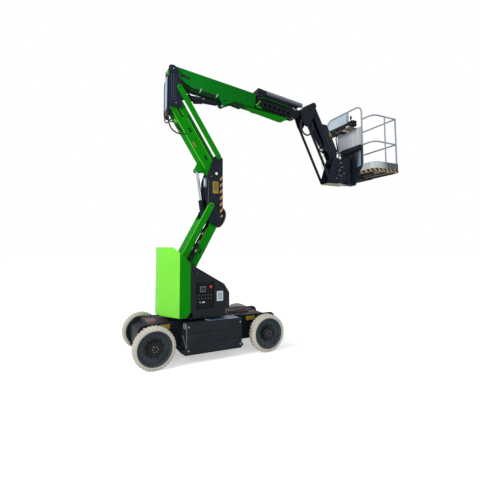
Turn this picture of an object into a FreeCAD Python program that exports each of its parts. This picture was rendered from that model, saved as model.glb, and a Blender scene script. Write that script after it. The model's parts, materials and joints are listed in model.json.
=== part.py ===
import FreeCAD, Part
import math
import os
import re

import Sketcher
from FreeCAD import Placement, Rotation, Vector

# An electric articulating boom lift with a jib, in millimetres and degrees.
# X runs along the chassis to its steered end, Y to the left and Z up from the ground,
# with the origin under the slewing axis.

SIZES = [
    # name, value, what it is
    ("wheel_base", 1830, "rear axle to front axle"),
    ("overall_width", 1275, "outer face to outer face of the tyres"),
    ("tyre_dia", 600, "solid tyre"),
    ("tyre_width", 146, "solid tyre"),
    ("rim_dia", 490, "tyre seat"),
    ("rim_wall", 22, "thickness of the rim's ring and disc"),
    ("rim_dish", 46, "disc set in from the tyre's face"),
    ("hub_dia", 210, "hub cover"),
    ("bolt_circle", 260, "circle of the wheel bolts' recesses"),
    ("wheel_bolts", 9, "wheel bolts"),
    ("spindle_dia", 70, "wheel spindle"),
    ("running_gap", 0.3, "radial play of every pin and spindle"),
    ("side_gap", 5, "space beside every eye and link"),
    ("frame_width", 580, "chassis frame"),
    ("frame_front", 1205, "slewing axis to the front end"),
    ("frame_rear", 1100, "slewing axis to the rear end"),
    ("frame_base", 170, "underside above the ground"),
    ("frame_top", 580, "deck above the ground"),
    ("side_reach", 334, "chassis side plates' outer face from the centre plane"),
    ("side_wall", 12, "chassis side plates"),
    ("side_round", 96, "rounded upper corners of the chassis side plates"),
    ("beam_drop", 13, "cross beams' top below the frame's"),
    ("beam_depth", 92, "cross beams"),
    ("lashing_dia", 44, "hole in the lashing plate at each end"),
    ("lashing_reach", 27, "lashing hole beyond the frame's end"),
    ("lashing_rise", 60, "lashing plate's underside above the frame's"),
    ("lashing_wall", 25, "lashing plate"),
    ("box_front", 440, "battery box front end"),
    ("box_rear", 450, "battery box rear end"),
    ("box_base", 150, "battery box underside"),
    ("box_reach", 600, "battery box face from the centre plane"),
    ("box_round", 50, "rounded lower corners of a battery box"),
    ("tray_drop", 20, "battery tray below its box"),
    ("lid_wall", 8, "battery box lid"),
    ("board_count", 3, "boards in a battery box's face"),
    ("kingpin_reach", 425, "kingpin from the centre plane"),
    ("kingpin_dia", 50, "kingpin"),
    ("yoke_wall", 25, "ears that hold the kingpin"),
    ("knuckle_height", 150, "knuckle between the ears"),
    ("knuckle_width", 96, "knuckle"),
    ("ring_dia", 640, "slewing ring"),
    ("ring_height", 45, "slewing ring"),
    ("deck_wall", 28, "turntable deck"),
    ("cover_reach", 525, "side cover face from the centre plane"),
    ("cover_inner", 205, "side cover's inner face"),
    ("cover_front", 262, "front of the side covers"),
    ("cover_lift", 69, "side covers' lower edge above the turntable's deck"),
    ("cover_nose", 992, "top of the upright front edge"),
    ("cover_bend", 1130, "front end of the sloping top"),
    ("cover_top", 1451, "rear end of the sloping top"),
    ("weight_crease", 690, "counterweight's rear creases behind the slewing axis"),
    ("weight_back_half", 300, "counterweight's rear creases from the centre plane"),
    ("weight_round", 545, "radius of the counterweight's rear face"),
    ("weight_front", 374, "counterweight's front face behind the slewing axis"),
    ("weight_corner", 548, "counterweight's rear corners from the slewing axis"),
    ("weight_top", 1705, "counterweight's top"),
    ("weight_half", 525, "counterweight's half width"),
    ("weight_slope", 250, "drop of the counterweight's sloping top"),
    ("slot_half", 190, "half of the well that the links fold into"),
    ("slot_rear", 610, "rear wall of the well"),
    ("core_half", 100, "half width of the links and booms"),
    ("plate_wall", 18, "side plates of the uprights"),
    ("tie_wall", 22, "flat bars of the parallel links"),
    ("pin_dia", 50, "main pins"),
    ("tie_pin_dia", 40, "pins of the parallel links"),
    ("low_pin_back", 446, "lower link's foot pin behind the slewing axis"),
    ("low_pin_height", 979, "lower link's foot pin above the ground"),
    ("low_tie_back", 80, "lower parallel link's pin behind the link's"),
    ("low_tie_rise", 289, "lower parallel link's pin above the link's"),
    ("low_length", 1300, "lower link, pin to pin"),
    ("low_depth", 146, "lower link"),
    ("low_tie_depth", 110, "lower parallel link"),
    ("low_tie_web", 10, "web that joins the lower parallel link's bars"),
    ("low_angle", 61.4, "lower link above the horizontal, as it stands"),
    ("mid_ahead", 15, "upper arm's pin ahead of the lower link's, on the middle upright"),
    ("mid_rise", 850, "upper arm's pin above the lower link's, on the middle upright"),
    ("tower_lug_back", 175, "tower cylinder's foot behind the lower link's head pin"),
    ("tower_lug_rise", 150, "tower cylinder's foot above the lower link's head pin"),
    ("high_length", 1304, "upper arm, pin to pin"),
    ("high_depth", 255, "upper arm"),
    ("high_angle", 122.5, "upper arm's direction, as it stands"),
    ("high_tie_ahead", 40, "upper parallel link's pin ahead of the arm's"),
    ("high_tie_rise", 300, "upper parallel link's pin above the arm's"),
    ("high_tie_depth", 92, "upper parallel link"),
    ("top_back", 75, "boom pin behind the upper arm's, on the upper upright"),
    ("top_rise", 580, "boom pin above the upper arm's, on the upper upright"),
    ("boom_angle", -5.95, "boom above the horizontal, as it stands"),
    ("boom_length", 1590, "main boom, pin to mouth"),
    ("boom_over", 86, "main boom's top above the pin line"),
    ("boom_under", 187, "main boom's underside below the pin line"),
    ("boom_wall", 10, "main boom's tube"),
    ("fly_play", 8, "wear pads between the main boom and the fly boom"),
    ("fly_reach", 2687, "boom pin to the knuckle's pin, retracted"),
    ("fly_pin_over", 29, "knuckle's pin above the pin line"),
    ("jib_angle", -63.1, "jib above the horizontal, as it stands"),
    ("jib_length", 1234, "jib, pin to pin"),
    ("jib_half", 72, "half width of the jib"),
    ("jib_ahead", 270, "jib's pin ahead of the knuckle's"),
    ("jib_rise", 200, "jib's pin above the knuckle's"),
    ("jib_tie_back", 188, "jib's parallel link behind its pin"),
    ("jib_tie_drop", 436, "jib's parallel link below its pin"),
    ("jib_tie_depth", 54, "jib's parallel link"),
    ("jib_tie_pin_dia", 32, "pins of the jib's parallel link and cylinder"),
    ("jib_lug_back", 65, "jib cylinder's foot behind the jib's pin"),
    ("jib_lug_drop", 240, "jib cylinder's foot below the jib's pin"),
    ("turner_ahead", 400, "platform's turning axis ahead of the jib's end pin"),
    ("floor_height", 3330, "platform floor above the ground"),
    ("floor_depth", 60, "platform floor and its frame"),
    ("basket_rear", 190, "platform's rear rail ahead of its turning axis"),
    ("basket_depth", 700, "platform, rear rail to front rail"),
    ("basket_right", 600, "platform's right rail from its turning axis"),
    ("basket_left", 820, "platform's left rail from its turning axis"),
    ("rail_dia", 32, "guard rail tube"),
    ("post_dia", 28, "guard rail posts"),
    ("loop_dia", 34, "raised loop's tube"),
    ("rail_bend", 140, "guard rails' corner radius"),
    ("loop_bend", 150, "raised loop's corner radius"),
    ("tread_rise", 3, "tread panel above the floor's border"),
    ("border", 45, "floor's border round the tread panel"),
    ("floor_wall", 20, "floor plate"),
    ("rim_wall_low", 30, "floor's rim and cross beams"),
    ("rail_rise", 1140, "top rail above the floor"),
    ("toe_rise", 140, "toe board above the floor"),
    ("toe_wall", 3, "toe board"),
    ("loop_rise", 1450, "raised loop above the floor"),
    ("post_right", 270, "console post to the right of the turning axis"),
    ("post_left", 120, "loop post to the left of the turning axis"),
    ("console_rise", 970, "control console's underside above the floor"),
    ("console_height", 160, "control console"),
    ("console_depth", 190, "control console"),
    ("console_right", 400, "control console's right end from the turning axis"),
    ("console_left", 420, "control console's left end from the turning axis"),
    ("sheet_height", 520, "sheet below the control console"),
    ("loop_sheet_drop", 350, "lower edge of the sheet in the raised loop, below the loop's top"),
    ("console_slope", 90, "console's sloping top, measured along the floor"),
    ("cylinder_dia", 100, "lift cylinders"),
    ("rod_dia", 50, "lift cylinders' rods"),
    ("jib_cylinder_dia", 90, "jib cylinder"),
    ("jib_rod_dia", 42, "jib cylinder's rod"),
    ("tower_bottom", 140, "tower cylinder's closed end below its side pins"),
    ("tower_mouth", 240, "tower cylinder's side pins to the barrel's mouth"),
    ("tower_tail", 187, "tower cylinder's side pins to the rod's inner end, as it stands"),
    ("boom_mouth", 700, "boom cylinder's base pin to the barrel's mouth"),
    ("jib_mouth", 610, "jib cylinder's base pin to the barrel's mouth"),
]

document = FreeCAD.newDocument("boom_lift")
sheet = document.addObject("Spreadsheet::Sheet", "Sizes")
for row, (name, value, meaning) in enumerate(SIZES, start=1):
    sheet.set(f"A{row}", meaning)
    sheet.set(f"B{row}", str(value))
    sheet.setAlias(f"B{row}", name)
document.recompute()
names = {name for name, value, meaning in SIZES}
nodes = []


def bound(text):
    """The expression with each size name pointed at the sheet."""
    return re.sub(r"[a-z_]+", lambda word: f"Sizes.{word[0]}" if word[0] in names else word[0], str(text))


def size(text):
    """The number that an expression of size names gives."""
    return float(sheet.evalExpression(bound(text)))


def polar(angle, length):
    """The x and z steps of a length at an angle above the horizontal."""
    return (length * math.cos(math.radians(angle)), length * math.sin(math.radians(angle)))


def start_body(name, x=0.0, z=0.0, angle=0.0, y=0.0):
    """A body whose own frame stands at a place, turned up by an angle about the cross axis."""
    made = document.addObject("PartDesign::Body", name)
    made.Label = name
    made.AllowCompound = True
    made.Placement = Placement(Vector(x, y, z), Rotation(Vector(0, -1, 0), angle))
    nodes.append(made)
    return made


def draw(owner, role, level, shapes):
    """A sketch on one of the body's planes, set off along its normal.

    A shape is one (x, y, radius) circle, or a list of corners taken anticlockwise, where an
    (x, y, radius) between two corners makes the edge between them an arc round that centre.
    """
    plane = [item for item in owner.Origin.OriginFeatures if item.Role == role][0]
    sketch = owner.newObject("Sketcher::SketchObject", f"{owner.Name}_sketch")
    sketch.AttachmentSupport = [(plane, "")]
    sketch.MapMode = "FlatFace"
    sketch.setExpression("AttachmentOffset.Base.z", bound(level))

    def fix(kind, text, *where):
        index = sketch.addConstraint(Sketcher.Constraint(kind, *where, size(text)))
        sketch.setExpression(f"Constraints[{index}]", bound(text))

    for shape in shapes:
        if isinstance(shape, tuple):
            x, y, radius = shape
            ring = sketch.addGeometry(Part.Circle(Vector(size(x), size(y), 0), Vector(0, 0, 1), size(radius)))
            fix("DistanceX", x, -1, 1, ring, 3)
            fix("DistanceY", y, -1, 1, ring, 3)
            fix("Radius", radius, ring)
            continue
        corners = [index for index, point in enumerate(shape) if len(point) == 2]
        edges = []
        for count, index in enumerate(corners):
            after = corners[(count + 1) % len(corners)]
            start = Vector(size(shape[index][0]), size(shape[index][1]), 0)
            end = Vector(size(shape[after][0]), size(shape[after][1]), 0)
            middle = shape[(index + 1) % len(shape)]
            if len(middle) == 3:
                centre = Vector(size(middle[0]), size(middle[1]), 0)
                turns = [math.atan2(point.y - centre.y, point.x - centre.x) for point in (start, end)]
                circle = Part.Circle(centre, Vector(0, 0, 1), size(middle[2]))
                edge = sketch.addGeometry(Part.ArcOfCircle(circle, *turns))
            else:
                edge = sketch.addGeometry(Part.LineSegment(start, end))
            edges.append((edge, shape[index], middle if len(middle) == 3 else None))
        for count, (edge, corner, arc) in enumerate(edges):
            following = edges[(count + 1) % len(edges)][0]
            sketch.addConstraint(Sketcher.Constraint("Coincident", edge, 2, following, 1))
            fix("DistanceX", corner[0], -1, 1, edge, 1)
            fix("DistanceY", corner[1], -1, 1, edge, 1)
            if arc:
                ends = sketch.Geometry[edge]
                chord = ends.EndPoint - ends.StartPoint
                if abs(chord.y) > abs(chord.x):
                    fix("DistanceX", arc[0], -1, 1, edge, 3)
                else:
                    fix("DistanceY", arc[1], -1, 1, edge, 3)
    return sketch


def pad(owner, role, low, high, *shapes):
    """Material between two levels along the plane's axis."""
    level = f"-({high})" if role == "XZ_Plane" else low
    feature = owner.newObject("PartDesign::Pad", f"{owner.Name}_pad")
    feature.Profile = draw(owner, role, level, shapes)
    feature.setExpression("Length", bound(f"({high}) - ({low})"))
    return feature


def cut(owner, role, low, high, *shapes):
    """A pocket between two levels along the plane's axis."""
    level = f"-({low})" if role == "XZ_Plane" else high
    feature = owner.newObject("PartDesign::Pocket", f"{owner.Name}_cut")
    feature.Profile = draw(owner, role, level, shapes)
    feature.setExpression("Length", bound(f"({high}) - ({low})"))
    return feature


def turned(owner, role, *shapes):
    """A profile turned about the sketch's own horizontal axis."""
    feature = owner.newObject("PartDesign::Revolution", f"{owner.Name}_turned")
    feature.Profile = draw(owner, role, "0", shapes)
    feature.ReferenceAxis = (feature.Profile[0], ["H_Axis"])
    feature.Angle = 360
    return feature


def mirror(owner, features):
    """The same features on the other side of the centre plane."""
    plane = [item for item in owner.Origin.OriginFeatures if item.Role == "XZ_Plane"][0]
    feature = owner.newObject("PartDesign::Mirrored", f"{owner.Name}_mirrored")
    feature.Originals = features
    feature.MirrorPlane = (plane, [""])
    owner.Tip = feature
    return feature


def stadium(length, radius):
    """A bar's outline: two round ends about the pins and straight sides."""
    return [
        ("0", f"-({radius})"),
        (length, f"-({radius})"),
        (length, "0", radius),
        (length, radius),
        ("0", radius),
        ("0", "0", radius),
    ]


def box(x_low, y_low, x_high, y_high):
    """A rectangle's corners."""
    return [(x_low, y_low), (x_high, y_low), (x_high, y_high), (x_low, y_high)]


# Pin places, worked out along the arm from the turntable

low_foot = (-size("low_pin_back"), size("low_pin_height"))
low_tie_foot = (low_foot[0] - size("low_tie_back"), low_foot[1] + size("low_tie_rise"))
step = polar(size("low_angle"), size("low_length"))
mid_foot = (low_foot[0] + step[0], low_foot[1] + step[1])
mid_head = (mid_foot[0] + size("mid_ahead"), mid_foot[1] + size("mid_rise"))
step = polar(size("high_angle"), size("high_length"))
top_foot = (mid_head[0] + step[0], mid_head[1] + step[1])
boom_pin = (top_foot[0] - size("top_back"), top_foot[1] + size("top_rise"))
along = polar(size("boom_angle"), size("fly_reach"))
across = polar(size("boom_angle") + 90, size("fly_pin_over"))
knuckle_pin = (boom_pin[0] + along[0] + across[0], boom_pin[1] + along[1] + across[1])
jib_pin = (knuckle_pin[0] + size("jib_ahead"), knuckle_pin[1] + size("jib_rise"))
step = polar(size("jib_angle"), size("jib_length"))
jib_end = (jib_pin[0] + step[0], jib_pin[1] + step[1])
turner = jib_end[0] + size("turner_ahead")


# The frame is one welded box; plates with rounded tops stand beside its low decks at both ends

frame = start_body("chassis_frame")
pad(frame, "XZ_Plane", "-frame_width/2", "frame_width/2", [
    ("-frame_rear", "frame_base + 60"),
    ("-frame_rear + 60", "frame_base"),
    ("frame_front - 100", "frame_base"),
    ("frame_front", "frame_base + 60"),
    ("frame_front", "frame_top - 130"),
    ("frame_front - 190", "frame_top - 70"),
    ("frame_front - 205", "frame_top - beam_drop"),
    ("box_front + 150", "frame_top - beam_drop"),
    ("box_front + 130", "frame_top"),
    ("-box_rear - 140", "frame_top"),
    ("-box_rear - 160", "frame_top - beam_drop"),
    ("-frame_rear + 140", "frame_top - beam_drop"),
    ("-frame_rear + 125", "frame_top - 70"),
    ("-frame_rear", "frame_top - 120"),
])
side_in = "(side_reach - side_wall)"
beam_low = "frame_top - beam_drop - beam_depth"
features = [
    pad(frame, "XZ_Plane", f"-{side_in}", "-frame_width/2",
        box("box_front + 190", beam_low, "frame_front - 205", "frame_top - beam_drop"),
        box("-frame_rear + 140", beam_low, "-box_rear - 160", "frame_top - beam_drop")),
    pad(frame, "XZ_Plane", "-side_reach", f"-{side_in}", [
        ("box_front + 190", beam_low),
        ("frame_front + 12", beam_low),
        ("frame_front + 12", "frame_top - 4 - side_round"),
        ("frame_front + 12 - side_round", "frame_top - 4 - side_round", "side_round"),
        ("frame_front + 12 - side_round", "frame_top - 4"),
        ("box_front + 190", "frame_top - 4"),
    ]),
    pad(frame, "XZ_Plane", "-side_reach", f"-{side_in}", [
        ("-frame_rear + 45", "frame_base"),
        ("-frame_rear + 280", "frame_base"),
        ("-box_rear - 160", beam_low),
        ("-box_rear - 160", "frame_top - 4"),
        ("-frame_rear - 3 + side_round", "frame_top - 4"),
        ("-frame_rear - 3 + side_round", "frame_top - 4 - side_round", "side_round"),
        ("-frame_rear - 3", "frame_top - 4 - side_round"),
    ]),
    cut(frame, "XZ_Plane", "-side_reach - 1", f"-{side_in} + 1", ("-wheel_base/2", "tyre_dia/2", "118")),
]
mirror(frame, features)
for end, way in (("-frame_rear", -1), ("frame_front", 1)):
    tongue = [(f"{end} - {way}*20", "-70"), (f"{end} + {way}*(lashing_reach + 18)", "-45"),
              (f"{end} + {way}*(lashing_reach + 36)", "-20"), (f"{end} + {way}*(lashing_reach + 36)", "20"),
              (f"{end} + {way}*(lashing_reach + 18)", "45"), (f"{end} - {way}*20", "70")]
    if way < 0:
        tongue.reverse()
    low = "frame_base + lashing_rise"
    pad(frame, "XY_Plane", low, f"{low} + lashing_wall", tongue)
    cut(frame, "XY_Plane", f"{low} - 1", f"{low} + lashing_wall + 1",
        (f"{end} + {way}*lashing_reach", "0", "lashing_dia/2"))

# Battery boxes sit on trays between the wheels, with a lid and a face of horizontal boards
for side, sign in (("right", -1), ("left", 1)):
    battery = start_body(f"battery_box_{side}")

    def sideways(outer, inner):
        """The two cross positions of a stretch on this side, the lower one first."""
        return (f"-({outer})", f"-({inner})") if sign < 0 else (inner, outer)

    pad(battery, "XZ_Plane", *sideways("box_reach", "frame_width/2"), [
        ("-box_rear + box_round", "box_base"),
        ("box_front - box_round", "box_base"),
        ("box_front - box_round", "box_base + box_round", "box_round"),
        ("box_front", "box_base + box_round"),
        ("box_front", "frame_top"),
        ("-box_rear", "frame_top"),
        ("-box_rear", "box_base + box_round"),
        ("-box_rear + box_round", "box_base + box_round", "box_round"),
    ])
    pad(battery, "XZ_Plane", *sideways("box_reach - 12", "frame_width/2"), [
        ("-box_rear - 20", "box_base - tray_drop"),
        ("box_front - 10", "box_base - tray_drop"),
        ("box_front + 40", "box_base + 30"),
        ("box_front + 10", "box_base + 60"),
        ("-box_rear - 50", "box_base + 60"),
        ("-box_rear - 90", "box_base + 30"),
    ])
    pad(battery, "XZ_Plane", *sideways("box_reach - 20", "ring_dia/2 + 20"),
        box("-box_rear + 30", "frame_top", "box_front - 20", "frame_top + lid_wall"))
    for board in range(1, int(size("board_count"))):
        seam = f"box_base + (frame_top - box_base)*{board}/board_count"
        face = f"{sign}*box_reach"
        tip = f"{sign}*(box_reach - 10)"
        corners = [(face, f"{seam} - 8"), (tip, seam), (face, f"{seam} + 8")]
        if sign > 0:
            corners.reverse()
        cut(battery, "YZ_Plane", "-box_rear - 1", "box_front + 1", corners)

# The slewing ring is bolted between the frame and the turntable
ring = start_body("slew_ring")
pad(ring, "XY_Plane", "frame_top", "frame_top + ring_height", ("0", "0", "ring_dia/2"),
    ("0", "0", "ring_dia/2 - 90"))

# The drive axle: a gear housing and spindle on each side of the frame
rear_axle = start_body("rear_axle", x=-size("wheel_base/2"), z=size("tyre_dia/2"))
tyre_inside = "(overall_width/2 - tyre_width)"
housing = turned(rear_axle, "YZ_Plane", [
    ("frame_width/2", "0"),
    (f"{tyre_inside} + tyre_width - 60", "0"),
    (f"{tyre_inside} + tyre_width - 60", "spindle_dia/2"),
    (f"{tyre_inside} + 12", "spindle_dia/2"),
    (f"{tyre_inside} + 12", "88"),
    (f"{tyre_inside} - 40", "110"),
    ("frame_width/2 + 25", "110"),
    ("frame_width/2 + 25", "125"),
    ("frame_width/2", "125"),
])
mirror(rear_axle, [housing])

# The steered axle: two ears on each side of the frame, bored for the kingpin
front_axle = start_body("front_axle", x=size("wheel_base/2"), z=size("tyre_dia/2"))
ear = [
    ("-70", "frame_width/2"),
    ("70", "frame_width/2"),
    ("48", "kingpin_reach"),
    ("0", "kingpin_reach", "48"),
    ("-48", "kingpin_reach"),
]
features = []
for low in ("knuckle_height/2 + 2", "-knuckle_height/2 - 2 - yoke_wall"):
    features.append(pad(front_axle, "XY_Plane", low, f"{low} + yoke_wall", ear))
    features.append(cut(front_axle, "XY_Plane", f"{low} - 1", f"{low} + yoke_wall + 1",
                        ("0", "kingpin_reach", "kingpin_dia/2 + running_gap")))
features.append(pad(front_axle, "XZ_Plane", "frame_width/2", "frame_width/2 + 30",
                    box("-70", "-knuckle_height/2 - 2", "70", "knuckle_height/2 + 2")))
mirror(front_axle, features)

# Each steered wheel turns on the spindle of a knuckle that swings about its kingpin
for side, turn in (("right", 180), ("left", 0)):
    knuckle = start_body(f"knuckle_{side}", x=size("wheel_base/2"), z=size("tyre_dia/2"))
    knuckle.Placement = Placement(Vector(size("wheel_base/2"), 0, size("tyre_dia/2")),
                                  Rotation(Vector(0, 0, 1), turn))
    pad(knuckle, "XY_Plane", "-knuckle_height/2", "knuckle_height/2",
        ("0", "kingpin_reach", "knuckle_width/2"))
    pad(knuckle, "XY_Plane", "-knuckle_height/2 - 2 - yoke_wall", "knuckle_height/2 + 2 + yoke_wall",
        ("0", "kingpin_reach", "kingpin_dia/2"))
    pad(knuckle, "XZ_Plane", "kingpin_reach", f"{tyre_inside} + 12", ("0", "0", "60"))
    pad(knuckle, "XZ_Plane", "kingpin_reach", f"{tyre_inside} + tyre_width - 60", ("0", "0", "spindle_dia/2"))

# Solid tyres on dished rims, all four alike
for end, x in (("rear", "-wheel_base/2"), ("front", "wheel_base/2")):
    for side, sign, turn in (("right", -1, 180), ("left", 1, 0)):
        place = Placement(Vector(size(x), sign*size("(overall_width - tyre_width)/2"), size("tyre_dia/2")),
                          Rotation(Vector(0, 0, 1), turn))
        tyre = start_body(f"tyre_{end}_{side}")
        tyre.Placement = place
        turned(tyre, "YZ_Plane", [
            ("-tyre_width/2", "rim_dia/2"),
            ("tyre_width/2", "rim_dia/2"),
            ("tyre_width/2", "tyre_dia/2 - 30"),
            ("tyre_width/2 - 46", "tyre_dia/2"),
            ("-tyre_width/2 + 46", "tyre_dia/2"),
            ("-tyre_width/2", "tyre_dia/2 - 30"),
        ])
        rim = start_body(f"rim_{end}_{side}")
        rim.Placement = place
        turned(rim, "YZ_Plane", [
            ("-tyre_width/2 + 24", "spindle_dia/2 + running_gap"),
            ("tyre_width/2 - 59", "spindle_dia/2 + running_gap"),
            ("tyre_width/2 - 59", "0"),
            ("tyre_width/2 + 6", "0"),
            ("tyre_width/2 + 6", "hub_dia/2 - 12"),
            ("tyre_width/2 - 6", "hub_dia/2"),
            ("tyre_width/2 - rim_dish", "hub_dia/2"),
            ("tyre_width/2 - rim_dish", "rim_dia/2 - rim_wall - 20"),
            ("tyre_width/2 - 8", "rim_dia/2 - rim_wall"),
            ("tyre_width/2 - 8", "rim_dia/2"),
            ("-tyre_width/2 + 8", "rim_dia/2"),
            ("-tyre_width/2 + 8", "rim_dia/2 - rim_wall"),
            ("tyre_width/2 - rim_dish - rim_wall", "rim_dia/2 - rim_wall - 20"),
            ("tyre_width/2 - rim_dish - rim_wall", "hub_dia/2 - 30"),
            ("-tyre_width/2 + 24", "hub_dia/2 - 30"),
        ])
        recess = cut(rim, "XZ_Plane", "tyre_width/2 - rim_dish - 6", "tyre_width/2 - rim_dish + 1",
                     ("bolt_circle/2", "0", "8"))
        pattern = rim.newObject("PartDesign::PolarPattern", f"{rim.Name}_recesses")
        pattern.Originals = [recess]
        pattern.Axis = ([item for item in rim.Origin.OriginFeatures if item.Role == "Y_Axis"][0], [""])
        pattern.Angle = 360
        pattern.setExpression("Occurrences", bound("wheel_bolts"))
        rim.Tip = pattern

# The turntable: a deck on the slewing ring and two tower plates for the links' foot pins
deck_low = "frame_top + ring_height"
deck_high = "(frame_top + ring_height + deck_wall)"
plate_in = "(core_half + side_gap)"
plate_out = "(core_half + side_gap + plate_wall)"
tie_in = "(core_half + 2*side_gap + plate_wall)"
tie_out = "(core_half + 2*side_gap + plate_wall + tie_wall)"
turntable = start_body("turntable")
pad(turntable, "XY_Plane", deck_low, deck_high, [
    ("-slot_rear", "-slot_half"),
    ("-weight_front", "-weight_half + 30"),
    ("cover_front - 60", "-cover_reach + 30"),
    ("cover_front", "-cover_reach + 90"),
    ("cover_front", "cover_reach - 90"),
    ("cover_front - 60", "cover_reach - 30"),
    ("-weight_front", "weight_half - 30"),
    ("-slot_rear", "slot_half"),
])
features = [
    pad(turntable, "XZ_Plane", f"-{plate_out}", f"-{plate_in}", [
        ("-low_pin_back - low_tie_back - 70", deck_high),
        ("-low_pin_back + 420", deck_high),
        ("-low_pin_back + 60", "low_pin_height + 90"),
        ("-low_pin_back - low_tie_back + 55", "low_pin_height + low_tie_rise"),
        ("-low_pin_back - low_tie_back", "low_pin_height + low_tie_rise", "55"),
        ("-low_pin_back - low_tie_back - 55", "low_pin_height + low_tie_rise"),
    ]),
    cut(turntable, "XZ_Plane", f"-{plate_out} - 1", f"-{plate_in} + 1",
        ("-low_pin_back", "low_pin_height", "pin_dia/2 + running_gap"),
        ("-low_pin_back - low_tie_back", "low_pin_height + low_tie_rise", "tie_pin_dia/2 + running_gap")),
]
mirror(turntable, features)

# Side covers over the power pack; the right one carries the ground controls in a recess
for side, sign in (("right", -1), ("left", 1)):
    cover = start_body(f"cover_{side}")
    near = "-cover_reach" if sign < 0 else "cover_inner"
    far = "-cover_inner" if sign < 0 else "cover_reach"
    pad(cover, "XZ_Plane", near, far, [
        ("-weight_front", f"{deck_high} + cover_lift"),
        ("cover_front", f"{deck_high} + cover_lift + 20"),
        ("cover_front", "cover_nose"),
        ("cover_front - 87", "cover_bend"),
        ("-weight_front", "cover_top"),
    ])
    pad(cover, "XZ_Plane", near, far,
        box("-weight_front + 30", deck_high, "cover_front - 70", f"{deck_high} + cover_lift + 30"))
    if sign < 0:
        cut(cover, "XZ_Plane", "-cover_reach", "-cover_reach + 40", box("-290", "770", "5", "1170"))
panel = start_body("ground_panel")
pad(panel, "XZ_Plane", "-cover_reach + 28", "-cover_reach + 40", box("-288", "772", "3", "1168"))
pad(panel, "XZ_Plane", "-cover_reach + 12", "-cover_reach + 28", box("-262", "1010", "-150", "1120"))
pad(panel, "XZ_Plane", "-cover_reach + 4", "-cover_reach + 28", ("-50", "1095", "28"))

# The counterweight is cast: slanted corners, round behind, sloping on top, and with a well
# that the links fold into
weight = start_body("counterweight")
pad(weight, "XY_Plane", deck_high, "weight_top", [
    ("-weight_front", "weight_half"),
    ("-weight_corner", "weight_half"),
    ("-weight_crease", "weight_back_half"),
    ("-weight_crease + sqrt(weight_round*weight_round - weight_back_half*weight_back_half)", "0", "weight_round"),
    ("-weight_crease", "-weight_back_half"),
    ("-weight_corner", "-weight_half"),
    ("-weight_front", "-weight_half"),
    ("-weight_front", "-slot_half"),
    ("-slot_rear", "-slot_half"),
    ("-slot_rear", "slot_half"),
    ("-weight_front", "slot_half"),
])
cut(weight, "XZ_Plane", "-weight_half - 200", "weight_half + 200",
    [("-weight_front + 1", "weight_top + 1"), ("-weight_front - weight_slope + 3", "weight_top + 1"),
     ("-weight_front + 1", "weight_top - weight_slope - 3")],
    [("-weight_front + 1", f"{deck_high} - 1"), ("-weight_front + 1", f"{deck_high} + 75"),
     ("-weight_front - 60", f"{deck_high} - 1")])

# Lower link: a box beam whose upper end is a trough, so that the tower cylinder's foot folds in
low_link = start_body("lower_link", *low_foot, angle=size("low_angle"))
pad(low_link, "XZ_Plane", "-core_half", "core_half", stadium("low_length", "low_depth/2"))
cut(low_link, "XZ_Plane", "-core_half + 14", "core_half - 14", [
    ("low_length - 420", "-low_depth/2 + 14"),
    ("low_length + 80", "-low_depth/2 + 14"),
    ("low_length + 80", "low_depth/2 + 1"),
    ("low_length - 420", "low_depth/2 + 1"),
])
pad(low_link, "XZ_Plane", "-core_half", "core_half", ("low_length", "0", "pin_dia/2 + 16"))
for low, high_side in (("-core_half - 1", "-core_half + 12"), ("core_half - 12", "core_half + 1")):
    cut(low_link, "XZ_Plane", low, high_side, box("430", "-16", "520", "12"),
        box("low_length - 600", "-16", "low_length - 510", "12"))
pad(low_link, "XZ_Plane", f"-{plate_out}", plate_out, ("0", "0", "pin_dia/2"))
pad(low_link, "XZ_Plane", f"-{plate_out}", plate_out, ("low_length", "0", "pin_dia/2"))

# Parallel links: flat bars outside the plates, with a stub pin through the plate at each end;
# a web along its upper edge makes the lower one a channel
for name, foot, angle, length, depth, pin in (
        ("lower_tie", low_tie_foot, "low_angle", "low_length", "low_tie_depth", "tie_pin_dia"),
        ("upper_tie", (mid_head[0] + size("high_tie_ahead"), mid_head[1] + size("high_tie_rise")),
         "high_angle", "high_length", "high_tie_depth", "tie_pin_dia"),
        ("jib_tie", (jib_pin[0] - size("jib_tie_back"), jib_pin[1] - size("jib_tie_drop")),
         "jib_angle", "jib_length", "jib_tie_depth", "jib_tie_pin_dia")):
    tie = start_body(name, *foot, angle=size(angle))
    features = [
        pad(tie, "XZ_Plane", f"-{tie_out}", f"-{tie_in}", stadium(length, f"{depth}/2")),
        pad(tie, "XZ_Plane", f"-{tie_in}", f"-{plate_in}", ("0", "0", f"{pin}/2")),
        pad(tie, "XZ_Plane", f"-{tie_in}", f"-{plate_in}", (length, "0", f"{pin}/2")),
    ]
    mirror(tie, features)
    if name == "lower_tie":
        pad(tie, "XZ_Plane", f"-{tie_out}", tie_out,
            box("150", "low_tie_depth/2 - low_tie_web", "low_length - 300", "low_tie_depth/2"))

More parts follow.
